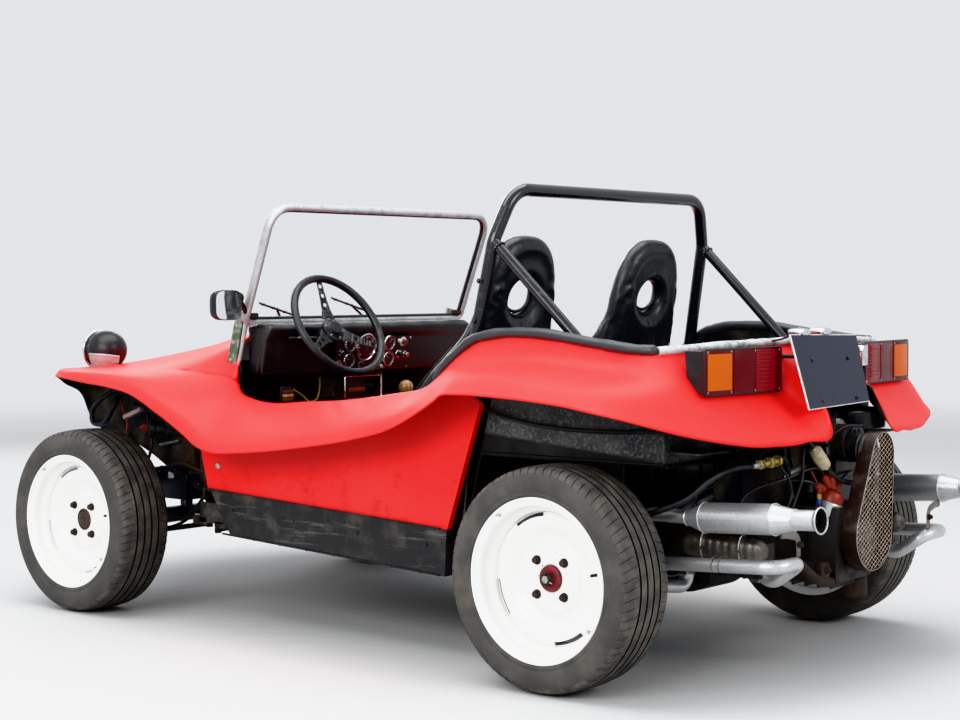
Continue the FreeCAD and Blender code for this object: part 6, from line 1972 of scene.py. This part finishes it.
def make_chassis(sizes):
    """Finishes on the bare steel parts, and the floor's seams, bolts, boots and brackets."""
    dress("chassis_black", "front_beam", "front_trailing_arms", "tie_rod_left", "tie_rod_right",
          "rear_torsion_tube")
    dress("satin_black", "front_shocks", "rear_shocks", "fuel_tank")
    dress("worn_black_and_blue_sheen", "front_left_knuckle", "front_right_knuckle", "pitman_arm", "rear_axle_tubes")
    dress("underside", "floor_pan", "footwell")
    dress("engine_alloy", "gearbox")
    dress("sill_black", "side_sills")
    dress("well_black", "luggage_well")
    dress("body_paint", "side_panels")
    gear = Piece("running_gear_fittings")
    beam_x, shock_y = WHEELBASE / MM + 150, 516
    for side in (1, -1):
        foot, top = spot(beam_x - 60, side * shock_y, 282), spot(beam_x - 40, side * shock_y, 562)
        way = unit(top - foot)
        gear.peg([(115, 23.5), (120, 26), (255, 26), (262, 22)], foot, way, "chassis_black", 36)
        gear.peg([(-20, 21), (15, 21)], foot, (0, 1, 0), "belt_rubber", 28)
        for x, z in ((beam_x, 262), (beam_x, 412)):
            gear.peg([(-8, 31), (4, 34), (10, 30)], spot(x, side * 497, z), (0, side, 0), "rusty_steel", 32)
            gear.bolt(spot(x, side * 507, z), (0, side, 0), 0.010, "rusty_steel")
        foot, top = spot(-76, side * 520, 300), spot(30, side * 520, 545)
        bellows(gear, foot + (top - foot) * 0.42, foot + (top - foot) * 0.60, 0.0175, 0.024, 6,
                "belt_rubber")
        bellows(gear, spot(0, side * 96, 305), spot(0, side * 168, 305), 0.060, 0.072, 6, "belt_rubber")
        gear.turned([(0, 0.060), (0.002, 0.0645), (0.010, 0.0645), (0.012, 0.060)],
                    spot(0, side * 164, 305), (0, side, 0), "zinc", 40)
        hose(gear, [(70, 470, 350), (48, 500, 392), (16, 540, 372), (-12, 556, 330), (-20, 574, 300)],
             0.0048, side=side)
        for k in range(4):
            gear.bolt(spot(150 + 42 * math.cos(k * TURN / 4 + 0.6), side * 488.5,
                           318 + 30 * math.sin(k * TURN / 4 + 0.6)), (0, side, 0), 0.007, "zinc")
    for x, y, z in ((2046, 230, 440), (2046, 310, 440), (1972, 230, 440), (1972, 310, 440)):
        gear.bolt(spot(x, y, z), (0, 0, 1), 0.007, "rusty_steel")
    gear.done(smooth=40)

    under = Piece("side_fittings")
    for side in (1, -1):
        for low, high in (((505, 248), (1440, 291)), ((505, 384), (1532, 431))):
            under.rod(spot(low[0], side * 610, low[1]), spot(high[0], side * 610, high[1]), 0.0032,
                      "sill_black")
        for share in (0.06, 0.35, 0.64, 0.93):
            x = 500 + share * 960
            under.peg([(0, 6), (2.5, 4.8), (3, 0)], spot(x, side * 610, 330 + share * 42), (0, side, 0),
                      "sill_black", 12)
        cap = spot(1467, side * 600, 508)
        under.peg([(0, 12.5), (2, 12.5), (4, 10.5), (7.5, 9), (9, 5), (9.5, 0)], cap, (0, side, 0),
                  "dull_alloy", 24)
        for x, z, wide, tall in ((1572, 322, 34, 14), (1512, 350, 60, 34), (1470, 314, 30, 12)):
            under.pebble(spot(x, side * 588, z), (wide * MM, 0.006, tall * MM), 0.004, "chassis_black", 3)
        for k in range(7):
            under.bolt(spot(620 + 120 * k, side * 566, 245 + 5.6 * k), (0, 0, -1), 0.005, "rusty_steel")
    under.done(smooth=40)


FRONT_HOSES = (
    # radius, finish and the places that the hose runs through
    (0.0056, "belt_rubber", [(1590, 470, 452), (1640, 474, 425), (1690, 464, 388), (1745, 456, 330),
                             (1800, 458, 290), (1860, 476, 264), (1925, 522, 262)]),
    (0.0036, "belt_rubber", [(1600, 470, 470), (1665, 470, 420), (1725, 462, 356), (1790, 466, 306),
                             (1850, 488, 292)]),
    (0.0052, "belt_rubber", [(2046, 424, 700), (2004, 452, 662), (1972, 470, 610), (1948, 480, 540),
                             (1958, 500, 470), (1990, 516, 420)]),
    (0.0042, "belt_rubber", [(1880, 424, 690), (1850, 450, 640), (1862, 470, 588), (1900, 470, 560)]),
    (0.0115, "chassis_black", [(1650, 470, 560), (1720, 470, 600), (1800, 462, 622), (1880, 455, 640),
                               (1990, 448, 660), (2080, 442, 672)]),
    (0.0075, "rusty_steel", [(1612, 500, 470), (1700, 480, 470), (1790, 470, 486), (1870, 470, 474)]),
)


def make_wheel_arches(sizes):
    """Inner walls of the front wheel arches: a sheet from the body's underside to a falling lower edge."""
    edge = np.array([(2298, 608, 775), (2322, 556, 745), (2324, 496, 716), (2310, 452, 618),
                     (2276, 428, 576), (2200, 422, 576), (2100, 424, 540), (2010, 424, 505),
                     (1930, 424, 465), (1850, 424, 428), (1770, 424, 396), (1700, 432, 372),
                     (1640, 470, 366), (1590, 530, 372), (1560, 584, 392)], float)
    top = np.array([777, 780, 784, 790, 796, 802, 806, 808, 806, 806, 800, 790, 770, 742, 700.0])
    low = through(spots(edge), 6)
    steps = np.linspace(0, 1, 22)
    rise = np.interp(np.linspace(0, 1, len(low)), np.linspace(0, 1, len(top)), top) * MM
    rows = low[None] + np.zeros((22, 1, 1))
    rows[..., 2] = low[:, 2] + (rise - low[:, 2]) * steps[:, None]
    along = np.arange(len(low))
    rows[..., 1] += 0.010 * np.sin(steps[:, None] * 5.1 + along * 0.11) * np.sin(math.pi * steps)[:, None]
    arch = Piece("wheel_arch_walls")
    arch.grid(rows, "underside")
    arch.done(mirror=True, wall=0.0028, smooth=60)

    nose = Piece("front_end_fittings")
    for side in (1, -1):
        if side > 0:
            hose(nose, [(2120, 436, 742), (2147, 480, 723), (2200, 500, 690), (2250, 500, 640),
                        (2245, 500, 612), (2205, 500, 603), (2160, 500, 625), (2136, 496, 665),
                        (2130, 470, 705), (2126, 432, 730)], 0.0088)
            nose.peg([(0, 9.5), (96, 9.5), (98, 7.5)], spot(2104, 470, 632),
                     spot(2015, 470, 663) - spot(2104, 470, 632), "pink_tube", 24)
            hose(nose, [(1939, 450, 541), (1886, 450, 552), (1834, 450, 563)], 0.0052, "dull_alloy")
            nose.peg([(-45, 26), (-38, 31), (-22, 31), (-18, 27), (0, 27), (4, 31), (20, 31), (26, 24)],
                     spot(1934, 470, 599), (0.55, 0.6, 0.08), "belt_rubber", 40)
            nose.bolt(spot(1934, 470, 599) + 0.030 * unit(np.array((0.55, 0.6, 0.08))), (0.55, 0.6, 0.08),
                      0.0125, "red_plastic", 0.020)
            nose.pebble(spot(1846, 480, 445), (0.010, 0.009, 0.012), 0.006, "pale_edge", 5)
        for radius, finish, path in FRONT_HOSES:
            hose(nose, path, radius, finish, side=side)
        hose(nose,
             [(2180, 424, 760), (2150, 452, 700), (2110, 470, 655), (2080, 478, 600), (2090, 484, 560)],
             0.0036, "red_plastic", 8, 8, side=side)
        nose.pebble(spot(1850, side * 452, 610), (0.042, 0.020, 0.030), 0.010, "chassis_black", 5)
        nose.pebble(spot(1780, side * 446, 520), (0.030, 0.018, 0.052), 0.010, "rusty_steel", 5)
        for x, z in ((1700, 640), (1820, 700), (1960, 720), (2080, 730)):
            nose.bolt(spot(x, side * 428, z), (0, side, 0), 0.0065, "rusty_steel")
        for k in range(3):
            nose.pebble(spot(1700 + 60 * k, side * 470, 420 + 22 * k), (0.014, 0.026, 0.010), 0.005,
                        "worn_black_and_blue_sheen", 3)
        nose.peg([(0, 52), (6, 55), (20, 52), (50, 30), (55, 0)],
                 spot(WHEELBASE / MM + 225, side * 450, 802), (0, 0, -1), "satin_black", 32)
    nose.done(smooth=40)


def make_tub_details(sizes):
    """The cable that hangs along each side of the luggage tub, and the tub's folded lower rim."""
    piece = Piece("tub_fittings")
    for side in (1, -1):
        hose(piece, [(438, 562, 774), (420, 568, 757), (330, 572, 724), (245, 574, 708), (170, 574, 698),
                     (92, 574, 692), (30, 574, 690), (-24, 574, 690), (-120, 574, 692), (-225, 570, 696),
                     (-262, 545, 690)], 0.0052, side=side)
        piece.rod(spot(-244, side * 561, 607), spot(386, side * 561, 607), 0.006, "well_black")
        piece.pebble(spot(-292, side * 470, 640), (0.052, 0.070, 0.0035), 0.002, "well_black", 3)
    piece.rod(spot(-247, -555, 604), spot(-247, 555, 604), 0.006, "well_black")
    piece.done(smooth=40)
# ------------------------------------------------------------------ operators
class BUGGY_OT_stage(bpy.types.Operator):
    """Floor, soft lights and camera"""
    bl_idname = "buggy.stage"
    bl_label = "Stage"

    def execute(self, context):
        make_stage(context.scene.buggy_sizes)
        return {"FINISHED"}


class BUGGY_OT_body(bpy.types.Operator):
    """Moulded red skin"""
    bl_idname = "buggy.body"
    bl_label = "Body"

    def execute(self, context):
        make_body(context.scene.buggy_sizes)
        return {"FINISHED"}


class BUGGY_OT_wheels(bpy.types.Operator):
    """Tyres, rims and drums"""
    bl_idname = "buggy.wheels"
    bl_label = "Wheels"

    def execute(self, context):
        make_wheels(context.scene.buggy_sizes)
        return {"FINISHED"}


class BUGGY_OT_screen(bpy.types.Operator):
    """Frame and glass of the windscreen"""
    bl_idname = "buggy.screen"
    bl_label = "Windscreen"

    def execute(self, context):
        make_screen(context.scene.buggy_sizes)
        return {"FINISHED"}


class BUGGY_OT_mirror(bpy.types.Operator):
    """Mirror on the frame and the wiper pair"""
    bl_idname = "buggy.mirror"
    bl_label = "Mirror and wipers"

    def execute(self, context):
        make_mirror(context.scene.buggy_sizes)
        return {"FINISHED"}


class BUGGY_OT_dash(bpy.types.Operator):
    """Dash shell, instruments and console"""
    bl_idname = "buggy.dash"
    bl_label = "Dash"

    def execute(self, context):
        make_dash(context.scene.buggy_sizes)
        return {"FINISHED"}


class BUGGY_OT_steering(bpy.types.Operator):
    """Wheel and column"""
    bl_idname = "buggy.steering"
    bl_label = "Steering wheel"

    def execute(self, context):
        make_wheel_and_column(context.scene.buggy_sizes)
        return {"FINISHED"}


class BUGGY_OT_controls(bpy.types.Operator):
    """Levers and pedals"""
    bl_idname = "buggy.controls"
    bl_label = "Controls"

    def execute(self, context):
        make_controls(context.scene.buggy_sizes)
        return {"FINISHED"}


class BUGGY_OT_seats(bpy.types.Operator):
    """Stuffed ring seats with seams"""
    bl_idname = "buggy.seats"
    bl_label = "Seats"

    def execute(self, context):
        make_seats(context.scene.buggy_sizes)
        return {"FINISHED"}


class BUGGY_OT_hoop(bpy.types.Operator):
    """Roll bar with its feet"""
    bl_idname = "buggy.hoop"
    bl_label = "Roll bar"

    def execute(self, context):
        make_roll_bar(context.scene.buggy_sizes)
        return {"FINISHED"}


class BUGGY_OT_trim(bpy.types.Operator):
    """Deck roll and tail rail"""
    bl_idname = "buggy.trim"
    bl_label = "Trim"

    def execute(self, context):
        make_trim(context.scene.buggy_sizes)
        return {"FINISHED"}


class BUGGY_OT_headlights(bpy.types.Operator):
    """Buckets, rings and glasses"""
    bl_idname = "buggy.headlights"
    bl_label = "Headlights"

    def execute(self, context):
        make_headlights(context.scene.buggy_sizes)
        return {"FINISHED"}


class BUGGY_OT_tail_lights(bpy.types.Operator):
    """Housings and lenses"""
    bl_idname = "buggy.tail_lights"
    bl_label = "Tail lights"

    def execute(self, context):
        make_tail_lights(context.scene.buggy_sizes)
        return {"FINISHED"}


class BUGGY_OT_board(bpy.types.Operator):
    """Blank board and its lamps"""
    bl_idname = "buggy.board"
    bl_label = "Number board"

    def execute(self, context):
        make_plate(context.scene.buggy_sizes)
        return {"FINISHED"}


class BUGGY_OT_engine(bpy.types.Operator):
    """Fins, ducts, drive, ignition and fuel parts"""
    bl_idname = "buggy.engine"
    bl_label = "Engine"

    def execute(self, context):
        make_engine(context.scene.buggy_sizes)
        return {"FINISHED"}


class BUGGY_OT_exhaust(bpy.types.Operator):
    """Silencers and their fittings"""
    bl_idname = "buggy.exhaust"
    bl_label = "Exhaust"

    def execute(self, context):
        make_exhaust(context.scene.buggy_sizes)
        return {"FINISHED"}


class BUGGY_OT_guard(bpy.types.Operator):
    """Band and mesh of the guard"""
    bl_idname = "buggy.guard"
    bl_label = "Belt guard"

    def execute(self, context):
        make_guard(context.scene.buggy_sizes)
        return {"FINISHED"}


class BUGGY_OT_chassis(bpy.types.Operator):
    """Running gear, sills and floor"""
    bl_idname = "buggy.chassis"
    bl_label = "Chassis"

    def execute(self, context):
        make_chassis(context.scene.buggy_sizes)
        return {"FINISHED"}


class BUGGY_OT_arches(bpy.types.Operator):
    """Inner walls and the fittings of the front end"""
    bl_idname = "buggy.arches"
    bl_label = "Wheel arches"

    def execute(self, context):
        make_wheel_arches(context.scene.buggy_sizes)
        return {"FINISHED"}


class BUGGY_OT_tub(bpy.types.Operator):
    """Cable, clips and ribs of the tub"""
    bl_idname = "buggy.tub"
    bl_label = "Luggage tub"

    def execute(self, context):
        make_tub_details(context.scene.buggy_sizes)
        return {"FINISHED"}


OPERATORS = (BUGGY_OT_stage, BUGGY_OT_body, BUGGY_OT_wheels, BUGGY_OT_screen, BUGGY_OT_mirror,
             BUGGY_OT_dash, BUGGY_OT_steering, BUGGY_OT_controls, BUGGY_OT_seats, BUGGY_OT_hoop,
             BUGGY_OT_trim, BUGGY_OT_headlights, BUGGY_OT_tail_lights, BUGGY_OT_board, BUGGY_OT_engine,
             BUGGY_OT_exhaust, BUGGY_OT_guard, BUGGY_OT_chassis, BUGGY_OT_arches, BUGGY_OT_tub)


class BUGGY_PT_panel(bpy.types.Panel):
    """Sizes, colours and one button for each group of pieces."""
    bl_label = "Dune buggy"
    bl_idname = "BUGGY_PT_panel"
    bl_space_type = "VIEW_3D"
    bl_region_type = "UI"
    bl_category = "Buggy"

    def draw(self, context):
        for group in (context.scene.buggy_sizes, context.scene.buggy_colours):
            column = self.layout.column()
            for key in group.bl_rna.properties.keys():
                if key not in ("rna_type", "name"):
                    column.prop(group, key)
        for kind in OPERATORS:
            self.layout.operator(kind.bl_idname)


CLASSES = (BuggySizes, BuggyColours) + OPERATORS + (BUGGY_PT_panel,)


def register():
    for kind in CLASSES:
        bpy.utils.register_class(kind)
    bpy.types.Scene.buggy_sizes = bpy.props.PointerProperty(type=BuggySizes)
    bpy.types.Scene.buggy_colours = bpy.props.PointerProperty(type=BuggyColours)


def unregister():
    del bpy.types.Scene.buggy_colours
    del bpy.types.Scene.buggy_sizes
    for kind in reversed(CLASSES):
        bpy.utils.unregister_class(kind)


def main():
    register()
    for kind in OPERATORS:
        group, name = kind.bl_idname.split(".")
        if getattr(getattr(bpy.ops, group), name)() != {"FINISHED"}:
            raise RuntimeError(kind.bl_label + " was not finished")


if __name__ == "__main__":
    main()
